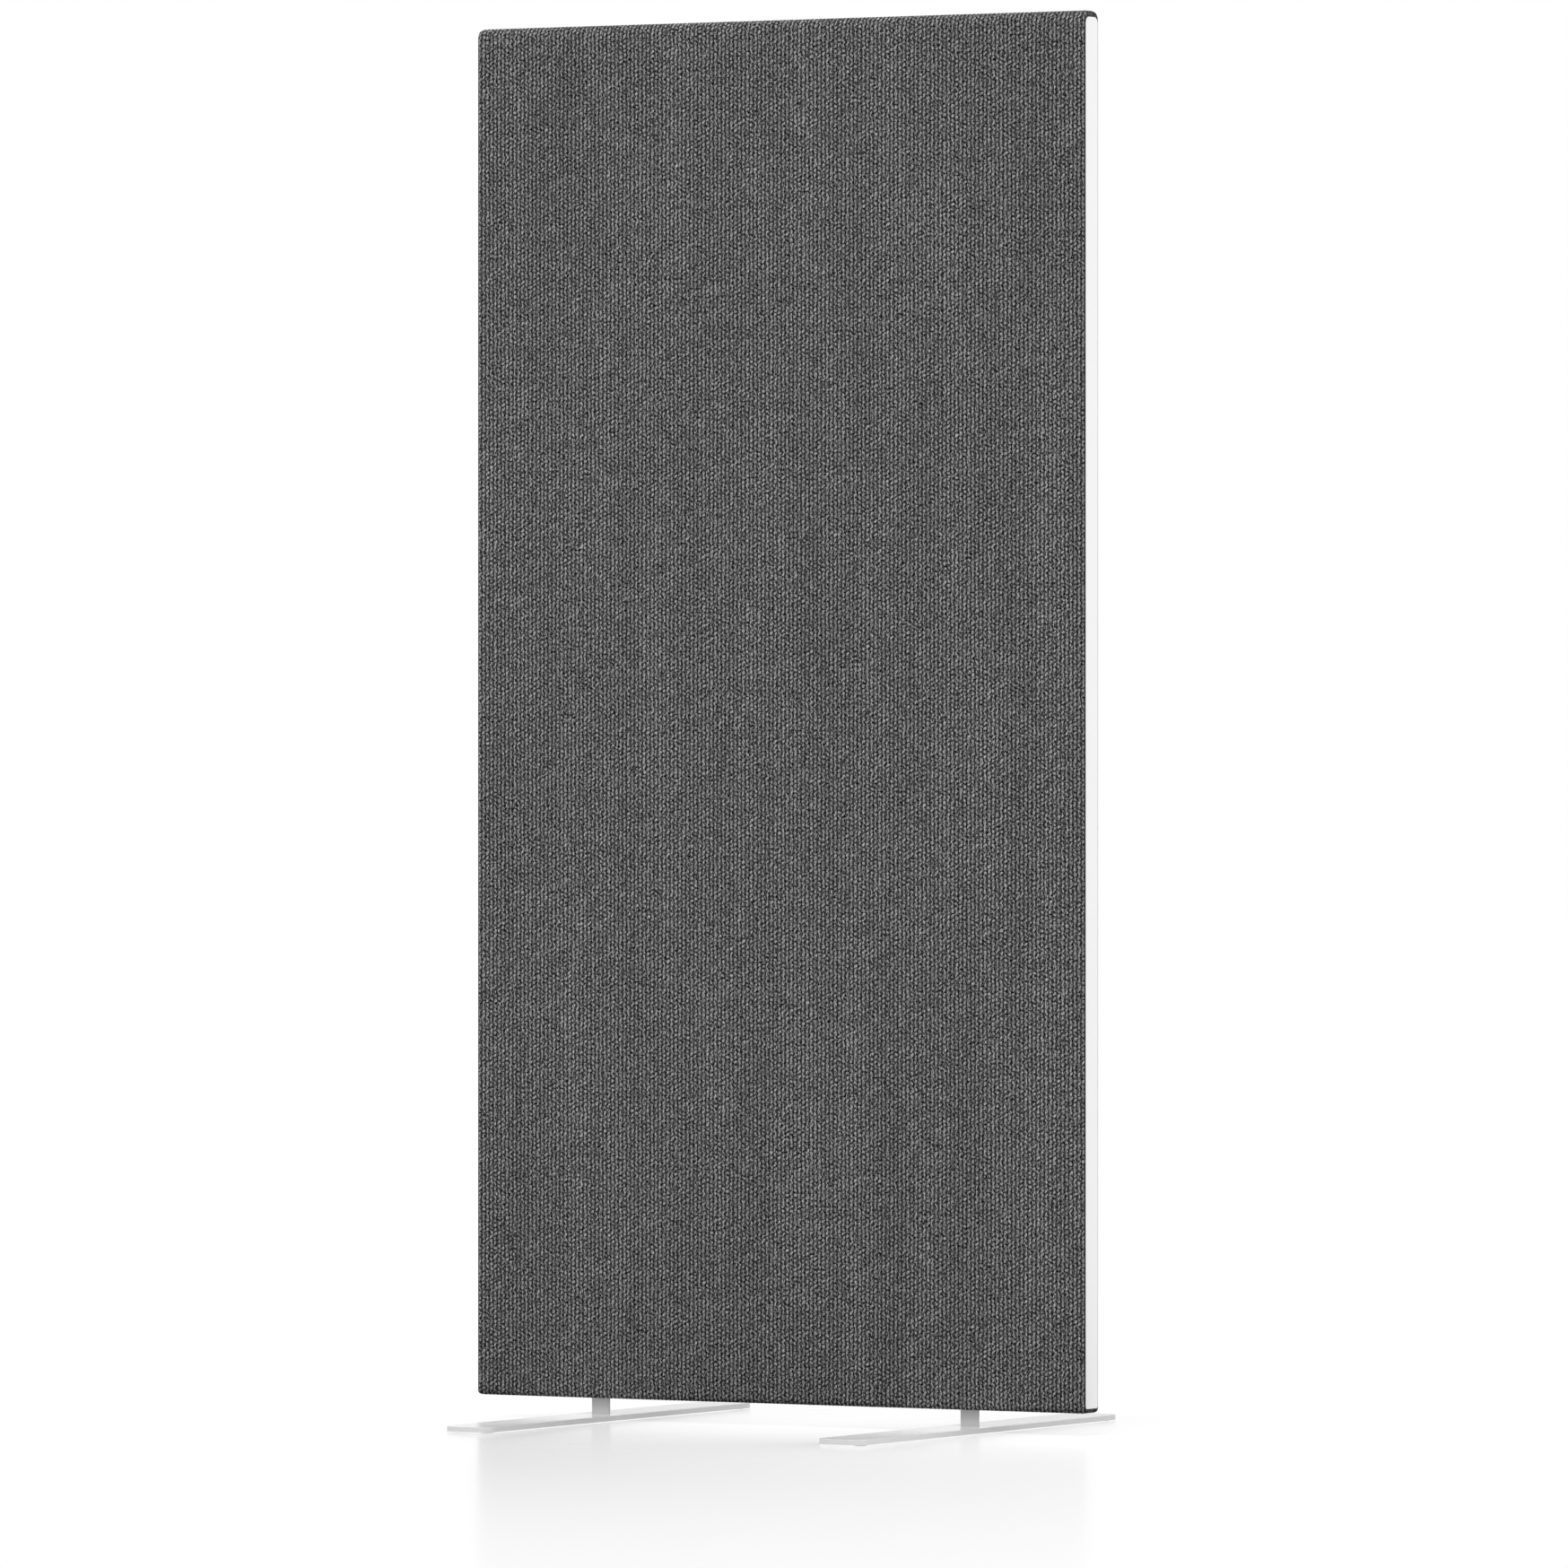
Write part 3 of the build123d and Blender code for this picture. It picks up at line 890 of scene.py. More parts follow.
def medial_height(row):
    """Where a row of the end face meets the middle line, below or above the groove."""
    if row < first_slit_row:
        share = row / first_slit_row
        return seat_low + SEAT_MARGIN + share * (slit_low - seat_low - 2 * SEAT_MARGIN)
    if row > last_slit_row:
        share = (len(walk) - 1 - row) / (len(walk) - 1 - last_slit_row)
        return seat_high - SEAT_MARGIN - share * (seat_high - slit_high - 2 * SEAT_MARGIN)
    return row_station(row, 0.0)[1]


def end_points(row):
    """Points of a row round the end, from the fold into the groove or the middle line."""
    depth, height, out_y, out_z = row_station(row, 0.0)
    reach = seat_distance(depth, height, out_y, out_z)
    reach = max(reach, FOLD_WIDTH)
    points = []
    for share in END_SHARES:
        inward = reach * share
        y, z = depth - out_y * inward, height - out_z * inward
        points.append((corner_x(z) - roll(inward), y, z))
    inward = reach + SEAT_ROUND
    y, z = max(depth - out_y * inward, 0.0), height - out_z * inward
    points.append((seat_x, y, z))
    middle = medial_height(row)
    if first_slit_row <= row <= last_slit_row:
        points.append((seat_x, y / 2, z))
        points.append((seat_x, LIP_OFFSET, z))
        points.append((lip_x, LIP_OFFSET, z))
    else:
        points.append((seat_x, y / 2, (z + middle) / 2))
        points.append((seat_x, min(LIP_OFFSET, y / 3), (z + 2 * middle) / 3))
        points.append((seat_x, 0.0, middle))
    return points


def lining_points(row):
    """The same round the end for the inside of the cloth."""
    depth, height, _, _ = row_station(row, CLOTH)
    if row == 0:
        depth = 0.0
    points = [(lining_x, depth, height)]
    middle = medial_height(row)
    if first_slit_row <= row <= last_slit_row:
        points.append((lining_x, LIP_OFFSET + CLOTH, height))
        points.append((lip_x, LIP_OFFSET + CLOTH, height))
    else:
        points.append((lining_x, min(LIP_OFFSET + CLOTH, depth / 3), (height + 2 * middle) / 3))
        points.append((lining_x, 0.0, middle))
    return points


def face_point(row, x, inset):
    """A point of a row on the flat of the panel, where the flaps keep their edges."""
    kind, value = walk[row]
    depth, height, _, _ = station(kind, flap_edge(x) if row == 0 else value, inset)
    return x, depth, height


def with_mirror(middle, right):
    """A whole row: its right end's points mirrored, the middle ones and the right end's."""
    return [(-x, y, z) for x, y, z in reversed(right)] + middle + right


def outer_row(row):
    """All points of a row of the outside, from the left groove to the right one."""
    ends = end_points(row)
    if row == 0:
        ends = [(x, 0.0, z) for x, _, z in ends]
    span = ends[0][0] - last_wale_x
    right = [face_point(row, last_wale_x + span * share, 0.0) for share in SIDE_SHARES]
    return with_mirror([face_point(row, x, 0.0) for x in regular], right + ends)


def inner_row(row):
    """All points of a row of the inside."""
    middle = [face_point(row, regular[index], CLOTH) for index in inner_picks]
    return with_mirror(middle, lining_points(row))


# The outside has a column for each quarter of a wale, the inside only what it needs.
regular = [
    -end_x + wale_pitch * step / COLUMNS_PER_WALE
    for step in range(COLUMNS_PER_WALE, (WALES - 1) * COLUMNS_PER_WALE + 1)
]
last_wale_x = regular[-1]
inner_picks = set(range(0, len(regular), INNER_COLUMN_STEP)) | {len(regular) - 1}
for index in range(1, len(regular)):
    if flap_edge(regular[index]) != flap_edge(regular[index - 1]):
        inner_picks |= {index - 1, index}
inner_picks = sorted(inner_picks)

outer_rows = [outer_row(row) for row in range(len(walk))]
inner_rows = [inner_row(row) for row in range(len(walk))]
outer_count, inner_count = len(outer_rows[0]), len(inner_rows[0])
outer_size = len(walk) * outer_count
end_columns, lining_columns = len(end_points(0)), len(lining_points(0))
main_first = end_columns - 1
main_last = outer_count - end_columns

# How far round the section each row lies, for the pattern's place on the cloth.
girth = [0.0]
for row in range(1, len(walk)):
    last, here = row_station(row - 1, 0.0), row_station(row, 0.0)
    girth.append(girth[-1] + math.hypot(here[0] - last[0], here[1] - last[1]))
face_base = girth[first_slit_row] - slit_low
verts, faces, flats = [], [], []


def add_half(sign):
    """The front half of the cover for a sign of -1, the back half for 1."""
    base = len(verts)
    for row in outer_rows + inner_rows:
        verts.extend((x, sign * y, z) for x, y, z in row)

    def outside(row, column):
        return base + row * outer_count + column

    def inside(row, column):
        return base + outer_size + row * inner_count + column

    def flat_place(row, column, at_end):
        """The point's place on the flat cloth: across the wales, then along them."""
        x, y, z = outer_rows[row][column]
        if at_end:
            across = math.copysign(end_x + half_depth - y, x)
            return -sign * across, -sign * (face_base + z)
        return -sign * x, -sign * girth[row]

    def add(corners, places=None):
        faces.append(corners[::-sign])
        flats.append((places or [(0.0, 0.0)] * len(corners))[::-sign])

    for row in range(len(walk) - 1):
        for column in range(outer_count - 1):
            at_end = column < main_first or column >= main_last
            grid = [(row, column), (row, column + 1), (row + 1, column + 1), (row + 1, column)]
            places = [flat_place(*place, at_end) for place in grid]
            add([outside(*place) for place in grid], places)
        for column in range(inner_count - 1):
            grid = [(row + 1, column), (row + 1, column + 1), (row, column + 1), (row, column)]
            add([inside(*place) for place in grid])
    for row in range(first_slit_row - 1, last_slit_row + 1):
        low, high = row, row + 1
        add([outside(low, 0), outside(high, 0), inside(high, 0), inside(low, 0)])
        a, b = outer_count - 1, inner_count - 1
        add([outside(high, a), outside(low, a), inside(low, b), inside(high, b)])
    picks = [end_columns + len(SIDE_SHARES) + index for index in inner_picks]
    for step, (first, last) in enumerate(zip(picks, picks[1:])):
        if not any(flap_edge(outer_rows[0][column][0]) for column in (first, last)):
            continue
        rim = [outside(0, column) for column in range(last, first - 1, -1)]
        rim += [inside(0, lining_columns + step), inside(0, lining_columns + step + 1)]
        add(rim)


add_half(-1)
add_half(1)
cover_mesh = mesh_of("knit_cover", verts, faces)
flat_map = cover_mesh.uv_layers.new(name="flat_cloth")
flat_map.data.foreach_set("uv", np.array([uv for places in flats for uv in places]).ravel())
# The rib mask is 1 where the wales stand; where it is 0, round the ends and on the flaps, the
# cloth's colour is also painted darker as painted shade.
rib_mask = cover_mesh.attributes.new("rib", "FLOAT", "POINT")
half_mask = np.zeros(len(verts) // 2, np.float32)
grid = half_mask[:outer_size].reshape(len(walk), outer_count)
grid[1:, main_first + 1 : main_last] = 1.0
grid[1, :] *= 0.5
rib_mask.data.foreach_set("value", np.tile(half_mask, 2))
shape = merged(cover_mesh)
bmesh.ops.dissolve_degenerate(shape, dist=SAME_POINT, edges=shape.edges)
settle(shape, cover_mesh)

# A loop of yarn is an oval that leans and varies, each part by chance from a least value.
YARN_DARK = (0.0115, 0.0115, 0.0115, 1)
YARN_LIGHT = (0.185, 0.185, 0.186, 1)
YARN_RELIEF, YARN_RELIEF_STRENGTH = 0.0006, 0.6
FIBRE_RELIEF = 0.25
LOOP_LEAN_LEAST, LOOP_LEAN_SPREAD = -0.48, 1.05
LOOP_WIDTH_LEAST, LOOP_WIDTH_SPREAD = 0.275, 0.11
LOOP_LENGTH_LEAST, LOOP_LENGTH_SPREAD = 0.40, 0.24
LOOP_TONE_LEAST, LOOP_TONE_SPREAD = 0.88, 0.24
LOOP_INSIDE, LOOP_OUTSIDE = 0.55, 1.12
CHANCE_LAYER = 3.7
ROW_START = 0.12
STAGGER = 0.5
CONTRAST = 1.38
MID_TONE = 0.5
VALLEY_TONE, VALLEY_FIBRES = 0.25, 0.3
STROKE_WIDTH, STROKE_DEPTH = 0.05, 1.25
STROKES_NONE, STROKES_ALL = -0.15, 0.10
SPECK_START, SPECK_FULL, SPECK_DEPTH = -0.05, -0.11, 1.3
DARKEST = -0.07
# Share of the cloth's tone kept round the ends and on the flaps: painted shade.
PAINTED_END_SHADE_TONE = 0.38

# One loop of a row, or of the row before or after it, at a spot of the cloth.
loop_group, given = group_tree(
    "knit loop",
    dict.fromkeys(("Across", "Along", "Wale", "Row", "Step"), 0.0),
    ("Mask", "Tone"),
)
cell = join(loop_group, X=given["Wale"], Y=given["Row"] + given["Step"], Z=CHANCE_LAYER)
chance = put(loop_group, "ShaderNodeTexWhiteNoise", {"Vector": cell}, noise_dimensions="3D")
draws = put(loop_group, "ShaderNodeSeparateColor", {0: chance["Color"]})
along = given["Along"] - given["Step"]
lean = draws[0] * LOOP_LEAN_SPREAD + LOOP_LEAN_LEAST
across = given["Across"] - lean * along
across = across / (draws[1] * LOOP_WIDTH_SPREAD + LOOP_WIDTH_LEAST)
along = along / (draws[2] * LOOP_LENGTH_SPREAD + LOOP_LENGTH_LEAST)
radius = across * across + along * along
oval = ramp(radius, LOOP_INSIDE, LOOP_OUTSIDE, 1.0, 0.0, interpolation_type="SMOOTHSTEP")
put(loop_group, "NodeGroupOutput", {"Mask": oval, "Tone": chance["Value"]})

# The whole knit: loops in staggered wales, stray fibres, dark strokes and specks between.
knit_group, given = group_tree(
    "knit",
    {"Flat Cloth": None, "Wale Pitch": 0.005, "Stitch Pitch": 0.005},
    ("Yarn", "Relief"),
)
parts = split(given["Flat Cloth"])
across, along = parts["X"], parts["Y"]


def cloth_noise(width, length, gain=1.0, detail=0.0, shift=0.0, source=None):
    """Noise about 0 on the flat cloth, as coarse as a width and a length in metres."""
    place = join(knit_group, X=(source or across) / width, Y=along / length, Z=shift)
    return (mottle(place, 1.0, detail=detail) - 0.5) * gain


wander = cloth_noise(width=0.008, length=0.011, gain=0.4)
crimp = cloth_noise(width=0.0034, length=0.0050, gain=0.1, shift=31.0)
wales = across / given["Wale Pitch"] + wander + crimp
wale = calc("FLOOR", wales)
in_wale = wales - wale - 0.5
start = put(knit_group, "ShaderNodeTexWhiteNoise", {"W": wale}, noise_dimensions="1D")
start = start * ROW_START
stagger = calc("FLOORED_MODULO", wale, 2.0) * STAGGER
slip = cloth_noise(width=1.4, length=0.02, gain=0.3, shift=5.0, source=wale)
uneven = cloth_noise(width=0.0042, length=0.0036, gain=0.28, shift=33.0)
rows = along / given["Stitch Pitch"] + start + stagger + slip + uneven
row = calc("FLOOR", rows)
in_row = rows - row - 0.5

spot = {"Across": in_wale, "Along": in_row, "Wale": wale, "Row": row}
loops = [
    put(knit_group, "ShaderNodeGroup", {**spot, "Step": step}, node_tree=loop_group)
    for step in (-1.0, 0.0, 1.0)
]
mask, tone = loops[0]["Mask"], loops[0]["Tone"]
for loop in loops[1:]:
    above = loop["Mask"] > mask
    tone = above * (loop["Tone"] - tone) + tone
    mask = calc("MAXIMUM", mask, loop["Mask"])

fibres = cloth_noise(width=0.0015, length=0.003, gain=6.3, detail=2.0, shift=9.0)
contrast = cloth_noise(width=0.014, length=0.017, gain=1.2, shift=2.0) + CONTRAST
yarn = mask * (tone * LOOP_TONE_SPREAD + LOOP_TONE_LEAST) - MID_TONE
yarn = yarn * contrast + MID_TONE + fibres
stroke = abs(cloth_noise(width=0.0030, length=0.0045, detail=1.0, shift=14.0))
sparse = cloth_noise(width=0.007, length=0.008, shift=17.0)
sparse = ramp(sparse, STROKES_NONE, STROKES_ALL, 0.0, 1.0)
yarn = yarn - ramp(stroke, STROKE_WIDTH, 0.0, 0.0, 1.0) * sparse * (STROKE_DEPTH - mask)
yarn = calc("MAXIMUM", yarn, fibres * VALLEY_FIBRES + VALLEY_TONE)
speck = cloth_noise(width=0.0016, length=0.0024, detail=1.0, shift=40.0)
speck = ramp(speck, SPECK_START, SPECK_FULL, 0.0, SPECK_DEPTH) * (SPECK_DEPTH - mask)
streaks = cloth_noise(width=0.042, length=0.6, gain=0.60, detail=3.0, shift=21.0) + 1.0
yarn = calc("MAXIMUM", yarn - speck, DARKEST) * streaks
put(knit_group, "NodeGroupOutput", {"Yarn": yarn, "Relief": fibres * FIBRE_RELIEF + mask})

knit, tree, shader, place = finish_material(
    "cover_knit", Roughness=0.9, Sheen_Weight=0.01, Specular_IOR_Level=0.05
)
stitches = {
    "Flat Cloth": put(tree, "ShaderNodeUVMap", uv_map="flat_cloth"),
    "Wale Pitch": wale_pitch,
    "Stitch Pitch": STITCH_PITCH,
}
stitches = put(tree, "ShaderNodeGroup", stitches, node_tree=knit_group)
# Painted shade: where the cloth has no raised wales, round the ends and on the flaps, its colour
# is darkened.
painted_end_shade = put(tree, "ShaderNodeAttribute", attribute_name="rib")["Fac"]
painted_end_shade = painted_end_shade * (1.0 - PAINTED_END_SHADE_TONE) + PAINTED_END_SHADE_TONE
colour = stitches["Yarn"] * painted_end_shade
colour = blend_colour(colour, YARN_DARK, YARN_LIGHT, clamp_factor=False)
feed(shader, "Base Color", colour)
feed(shader, "Roughness", stitches["Yarn"] * -0.1 + 0.95)
raise_from(shader, stitches["Relief"], YARN_RELIEF, YARN_RELIEF_STRENGTH)

# Each wale stands as a rounded ridge, so the cloth sinks in a narrow valley between two.
knit_values = {
    "Wale Pitch": wale_pitch,
    "Panel Edge": -end_x,
    "Rib Height": RIB_HEIGHT,
    "Rib Roundness": RIB_ROUNDNESS,
    "Valley Share": VALLEY_SHARE,
    "Cloth": knit,
}
tree, given = geometry_tree("wales", knit_values)
x = split(put(tree, "GeometryNodeInputPosition"))["X"]
phase = (x - given["Panel Edge"]) / given["Wale Pitch"]
wave = calc("POWER", abs(calc("SINE", phase * math.pi)), given["Rib Roundness"])
ribbed = put(tree, "GeometryNodeInputNamedAttribute", {"Name": "rib"}, data_type="FLOAT")
rise = (wave - given["Valley Share"]) * given["Rib Height"] * ribbed["Attribute"]
outward = {0: put(tree, "GeometryNodeInputNormal"), "Scale": rise}
outward = put(tree, "ShaderNodeVectorMath", outward, operation="SCALE")
moved = {"Geometry": given["Geometry"], "Offset": outward}
moved = put(tree, "GeometryNodeSetPosition", moved)
finish_tree(moved, given["Cloth"])
mesh = run_tree(cover_mesh, tree, knit_values)
cover = new_piece("knit_cover", mesh, "cover_knit", "fabric_cover")


# Edge strips
# White extruded plastic, one along each upright edge, pressed into the grooves by the
# barbed tongue behind. Satin, with the faint lines of the die along its length.
STRIP_WHITE = (0.83, 0.83, 0.835, 1)
STRIP_SHADE = (0.79, 0.79, 0.795, 1)
DIE_LINES = (900.0, 900.0, 4.0)
DIE_RELIEF = 0.00003
SPECK_SCALE = 1800.0

# Marks of handling: soft smudges and fine specks, as masks.
wear_group, given = group_tree(
    "handling", {"Place": None, "Patch Size": 0.05}, ("Smudge", "Speck")
)
smudge = mottle(given["Place"], 1.0 / given["Patch Size"], detail=4.0, Roughness=0.6)
speck = mottle(given["Place"], SPECK_SCALE)
put(wear_group, "NodeGroupOutput", {"Smudge": smudge, "Speck": speck})


def handled_material(name, tones, patch, roughness=None, grain=None, **values):
    """Two tones in smudges of a patch's size, with a fine grain of a depth in metres.

    The roughness is the mask that changes it, by how much, and its least value.
    """
    material, tree, shader, place = finish_material(name, **values)
    wear = {"Place": place, "Patch Size": patch}
    wear = put(tree, "ShaderNodeGroup", wear, node_tree=wear_group)
    feed(shader, "Base Color", blend_colour(wear["Smudge"], *tones))
    if roughness:
        mask, spread, least = roughness
        feed(shader, "Roughness", wear[mask] * spread + least)
    if grain:
        raise_from(shader, wear["Speck"], grain)
    return material, tree, shader, place


strip_white, tree, shader, place = handled_material(
    "strip_white", (STRIP_SHADE, STRIP_WHITE), 0.08, ("Smudge", 0.2, 0.3), Roughness=0.4
)
drawn = put(tree, "ShaderNodeMapping", {"Vector": place, "Scale": DIE_LINES})
raise_from(shader, mottle(drawn, 1.0), DIE_RELIEF)
dress(strip_white, "edge_strip_left", "edge_strip_right")


# Sockets and liners
# Zinc-plated steel sleeves screwed into the bottom rail, each with a pale nylon sleeve
# inside that grips the stem of a foot.
ZINC_PALE = (0.62, 0.63, 0.64, 1)
ZINC_DARK = (0.46, 0.47, 0.49, 1)
NYLON_PALE = (0.80, 0.79, 0.74, 1)
NYLON_DARK = (0.70, 0.68, 0.62, 1)

zinc = handled_material(
    "zinc_steel",
    (ZINC_DARK, ZINC_PALE),
    patch=0.006,
    roughness=("Speck", 0.3, 0.25),
    grain=0.00005,
    Metallic=1.0,
    Roughness=0.4,
)[0]
dress(zinc, "stem_socket_left", "stem_socket_right")

nylon = handled_material(
    "liner_nylon", (NYLON_DARK, NYLON_PALE), patch=0.02, grain=0.00003, Roughness=0.45
)[0]
dress(nylon, "socket_liner_left", "socket_liner_right")


# Socket screws
# Two countersunk wood screws hold each socket's flange up against the bottom rail. They
# have a cross recess, a full thread and a gimlet point.
SCREW_SEGMENTS = 24
SCREW_FACE_ROWS = 10
SCREW_HEAD_ROWS = 2
SCREW_THREAD_ROWS = 100
SCREW_POINT_ROWS = 12
THREAD_RUN_IN = 6
THREAD_CREST, THREAD_FOOT = 0.05, 0.30
screw_values = {
    "Head Radius": 0.0035,
    "Head Rim": 0.00025,
    "Head Height": 0.00175,
    "Core Radius": 0.00118,
    "Thread Depth": 0.00057,
    "Thread Pitch": 0.0016,
    "Length": 0.025,
    "Point": 0.005,
    "Recess Reach": 0.0020,
    "Recess Depth": 0.0012,
    "Recess Width": 0.00045,
    "Seed": 5,
    "Metal": zinc,
}

tree, given = geometry_tree("screws", screw_values)
point_start = given["Length"] - given["Point"]
grid, row, angle, radius, height = turned_blank(
    tree,
    [
        (0.0, 0.0, 0),
        (given["Head Radius"], 0.0, SCREW_FACE_ROWS),
        (given["Head Radius"], given["Head Rim"], 1),
        (given["Core Radius"], given["Head Height"], SCREW_HEAD_ROWS),
        (given["Core Radius"], point_start, SCREW_THREAD_ROWS),
        (0.0, given["Length"], SCREW_POINT_ROWS),
    ],
    SCREW_SEGMENTS,
)
winding = height / given["Thread Pitch"] - angle / (2 * math.pi)
crest = abs(calc("FLOORED_MODULO", winding, 1.0) - 0.5)
crest = ramp(crest, THREAD_FOOT, THREAD_CREST, 0.0, given["Thread Depth"])
thread_start = SCREW_FACE_ROWS + 1 + SCREW_HEAD_ROWS
threaded = ramp(row, thread_start, thread_start + THREAD_RUN_IN, 0.0, 1.0)
threaded = threaded - ramp(height, point_start, given["Length"], 0.0, 1.0)
radius = crest * threaded + radius
arm = calc("MINIMUM", abs(calc("SINE", angle)), abs(calc("COSINE", angle))) * radius
in_recess = (arm < given["Recess Width"]) * (row < SCREW_FACE_ROWS - 0.5)
sunk = ramp(radius, given["Recess Reach"], 0.0, 0.0, given["Recess Depth"]) * in_recess
screw = turn_round(grid, angle, radius, height + sunk)
screws = turned_copies_at(given["Geometry"], screw, given["Seed"], "Z")
finish_tree(screws, given["Metal"])
for side in ("left", "right"):
    name, node = f"flange_screws_{side}", f"socket_screws_{side}"
    piece_at_solids(name, node, tree, screw_values, "zinc_steel")


# Cover staples
# Zinc-plated wire staples, a row along each flap of the cover, driven up through the cloth
# into the bottom rail. The wire is flat, with rounded bends and chisel tips.
STAPLE_POINTS = 6
STAPLE_BEND_STEPS = 3
WIRE_ROUNDING = 0.6
staple_values = {
    "Crown": 0.0100,
    "Leg": 0.0086,
    "Wire Width": 0.0010,
    "Wire Thickness": 0.0006,
    "Bend": 0.0009,
    "Tip": 0.0016,
    "Tip Share": 0.35,
    "Metal": zinc,
}


def rectangle(tree, width, height):
    """A flat outline."""
    inputs = {"Width": width, "Height": height}
    return put(tree, "GeometryNodeCurvePrimitiveQuadrilateral", inputs, mode="RECTANGLE")


def round_corners(curve, radius, steps):
    """The curve with each of its corners rounded in some steps."""
    inputs = {"Curve": curve, "Radius": radius, "Count": steps}
    return put(curve.tree, "GeometryNodeFilletCurve", inputs, mode="POLY")


# Six points of the wire: a tip, the end of a leg and a corner on each side.
tree, given = geometry_tree("staples", staple_values)
line = put(tree, "GeometryNodeMeshLine", {"Count": STAPLE_POINTS}, mode="OFFSET")
from_middle = put(tree, "GeometryNodeInputIndex") - (STAPLE_POINTS - 1) / 2
steps_away = abs(from_middle)
half_crown = (given["Crown"] - given["Wire Thickness"]) * 0.5
half_wire = given["Wire Thickness"] * 0.5
blunt_leg = given["Leg"] - half_wire - given["Tip"]
up = (steps_away > 1.0) * blunt_leg + (steps_away > 2.0) * given["Tip"]
corner = join(tree, X=calc("SIGN", from_middle) * half_crown, Z=up + half_wire)
bent = put(tree, "GeometryNodeSetPosition", {"Geometry": line, "Position": corner})
wire = put(tree, "GeometryNodeMeshToCurve", {"Mesh": bent})
wire = round_corners(wire, given["Bend"], STAPLE_BEND_STEPS)
ends = put(tree, "GeometryNodeCurveEndpointSelection")
wire = {"Curve": wire, "Selection": ends, "Radius": given["Tip Share"]}
wire = put(tree, "GeometryNodeSetCurveRadius", wire)
section = rectangle(tree, given["Wire Thickness"], given["Wire Width"])
section = round_corners(section, half_wire * WIRE_ROUNDING, 1)
staple = {"Curve": wire, "Profile Curve": section, "Fill Caps": True}
staple = put(tree, "GeometryNodeCurveToMesh", staple)
staple = {"Geometry": staple, "Distance": SAME_POINT}
staple = put(tree, "GeometryNodeMergeByDistance", staple)
finish_tree(copies_at(given["Geometry"], staple), given["Metal"])
piece_at_solids("flap_staples", "cover_staples", tree, staple_values, "zinc_steel")


# Feet
# Flat steel plates with rounded ends and an upright flat bar, welded from below and
# powder-coated light grey. The coat has a fine orange peel and dulls where it is touched.
COAT_PALE = (0.66, 0.66, 0.66, 1)
COAT_DARK = (0.60, 0.60, 0.60, 1)
coat = handled_material(
    "foot_coat",
    (COAT_DARK, COAT_PALE),
    patch=0.09,
    roughness=("Smudge", 0.06, 0.10),
    grain=0.00004,
    Roughness=0.15,
    Specular_IOR_Level=0.28,
)[0]
dress(coat, "foot_plate_left", "foot_plate_right", "foot_stem_left", "foot_stem_right")


# Stem welds
# A bead of weld laid round the foot of each stem in the pocket under its plate, coated
# with the rest of the foot. The welder's small steps show as ripples along it.
WELD_LOW = 0.0007
WELD_SIDES = 12
WELD_CORNER_STEPS = 8
weld_values = {
    "Bead Height": 0.0018,
    "Bead Width": 0.0021,
    "Path Length": 0.0,
    "Path Width": 0.0,
    "Path Corner": 0.0022,
    "Path Step": 0.00038,
    "Ripple Pitch": 0.0013,
    "Ripple Share": 0.09,
    "Coat": coat,
}

tree, given = geometry_tree("stem weld", weld_values)
path = rectangle(tree, given["Path Length"], given["Path Width"])
path = round_corners(path, given["Path Corner"], WELD_CORNER_STEPS)
path = {"Curve": path, "Length": given["Path Step"]}
path = put(tree, "GeometryNodeResampleCurve", path, mode="LENGTH")
along = put(tree, "GeometryNodeSplineParameter")["Length"]
ripple = calc("SINE", along / given["Ripple Pitch"] * (2 * math.pi)) * 0.5 + 0.5
path = {"Curve": path, "Radius": 1.0 - ripple * given["Ripple Share"]}
path = put(tree, "GeometryNodeSetCurveRadius", path)
section = {"Resolution": WELD_SIDES, "Radius": 0.5}
section = put(tree, "GeometryNodeCurvePrimitiveCircle", section)
size = join(tree, X=given["Bead Width"], Y=given["Bead Height"], Z=1.0)
section = put(tree, "GeometryNodeTransform", {"Geometry": section, "Scale": size})
bead = put(tree, "GeometryNodeCurveToMesh", {"Curve": path, "Profile Curve": section})
finish_tree(copies_at(given["Geometry"], bead), given["Coat"])
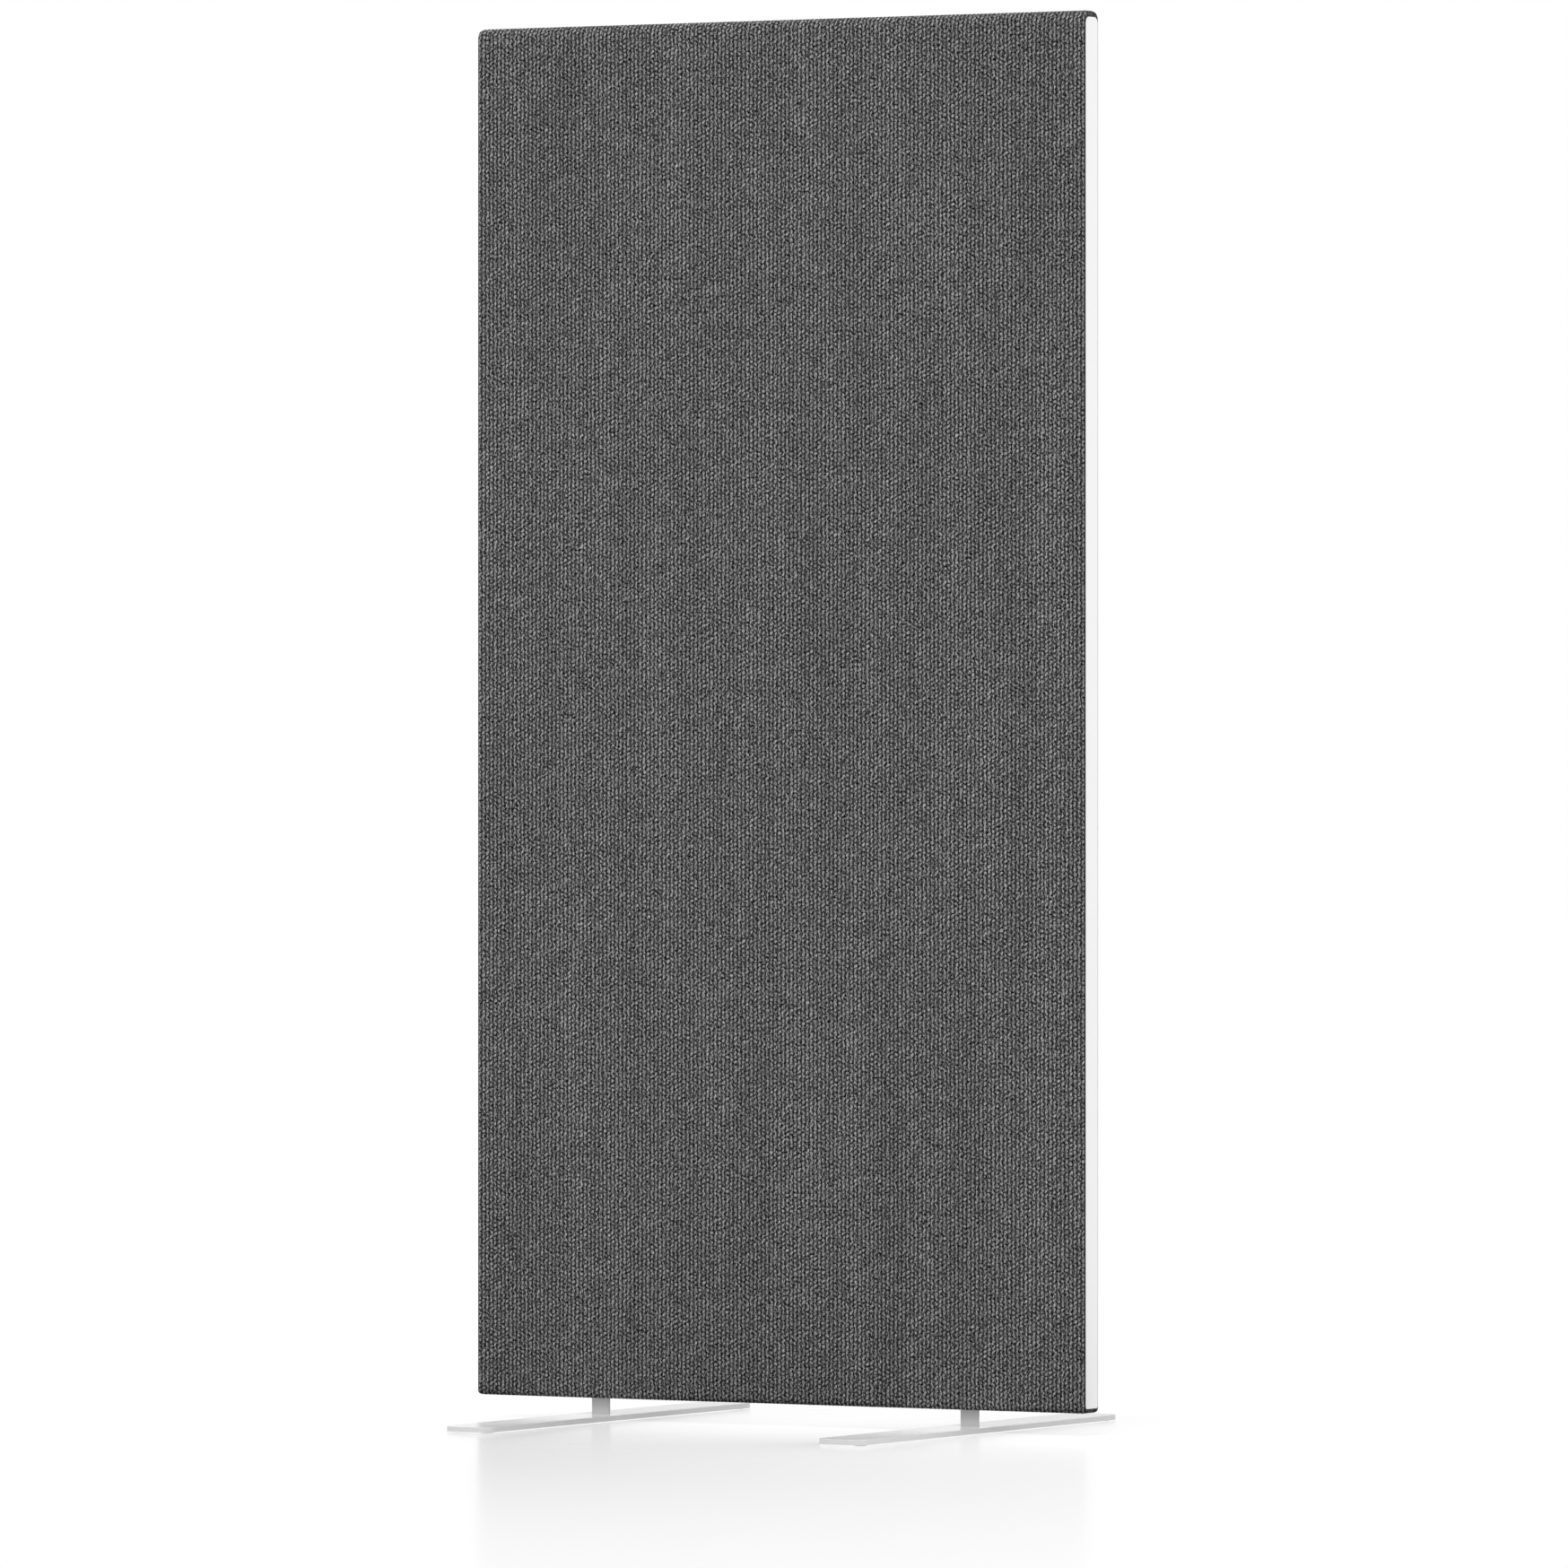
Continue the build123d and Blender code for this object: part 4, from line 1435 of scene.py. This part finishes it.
for side in ("left", "right"):
    name, node = f"weld_bead_{side}", f"stem_weld_{side}"
    low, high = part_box(node)
    weld_values["Path Length"] = high.x - low.x - weld_values["Bead Width"]
    weld_values["Path Width"] = high.y - low.y - weld_values["Bead Width"]
    height = WELD_LOW + weld_values["Bead Height"] / 2
    points = mesh_of(name, [((low.x + high.x) / 2, (low.y + high.y) / 2, height)])
    new_piece(name, run_tree(points, tree, weld_values), "foot_coat", node)


# Glide pads
# Thin round discs of clear white polyethylene, stuck under the ends of each plate. Their
# rims are eased, and a moulded groove runs round in the underside.
PAD_PALE = (0.86, 0.86, 0.85, 1)
PAD_DARK = (0.76, 0.76, 0.75, 1)
PAD_SEGMENTS = 40
pad_plastic = handled_material(
    "pad_plastic", (PAD_DARK, PAD_PALE), patch=0.01, grain=0.00003, Roughness=0.35
)[0]
pad_values = {
    "Radius": 0.008,
    "Thickness": 0.001,
    "Foot Rim": 0.0004,
    "Top Rim": 0.00015,
    "Ring Radius": 0.0056,
    "Ring Width": 0.0008,
    "Ring Depth": 0.0002,
    "Seed": 3,
    "Plastic": pad_plastic,
}

tree, given = geometry_tree("glide pads", pad_values)
half_ring, quarter_ring = given["Ring Width"] * 0.5, given["Ring Width"] * 0.25
top_edge = given["Thickness"] - given["Top Rim"]
grid, row, angle, radius, height = turned_blank(
    tree,
    [
        (0.0, 0.0, 0),
        (given["Ring Radius"] - half_ring, 0.0, 1),
        (given["Ring Radius"] - quarter_ring, given["Ring Depth"], 1),
        (given["Ring Radius"] + quarter_ring, given["Ring Depth"], 1),
        (given["Ring Radius"] + half_ring, 0.0, 1),
        (given["Radius"] - given["Foot Rim"], 0.0, 1),
        (given["Radius"], given["Foot Rim"], 1),
        (given["Radius"], top_edge, 1),
        (given["Radius"] - given["Top Rim"], given["Thickness"], 1),
        (0.0, given["Thickness"], 1),
    ],
    PAD_SEGMENTS,
)
pad = turn_round(grid, angle, radius, height)
pads = turned_copies_at(given["Geometry"], pad, given["Seed"], "Z")
finish_tree(pads, given["Plastic"])
for side in ("left", "right"):
    name, node = f"glide_pads_{side}", f"foot_pads_{side}"
    piece_at_solids(name, node, tree, pad_values, "pad_plastic")
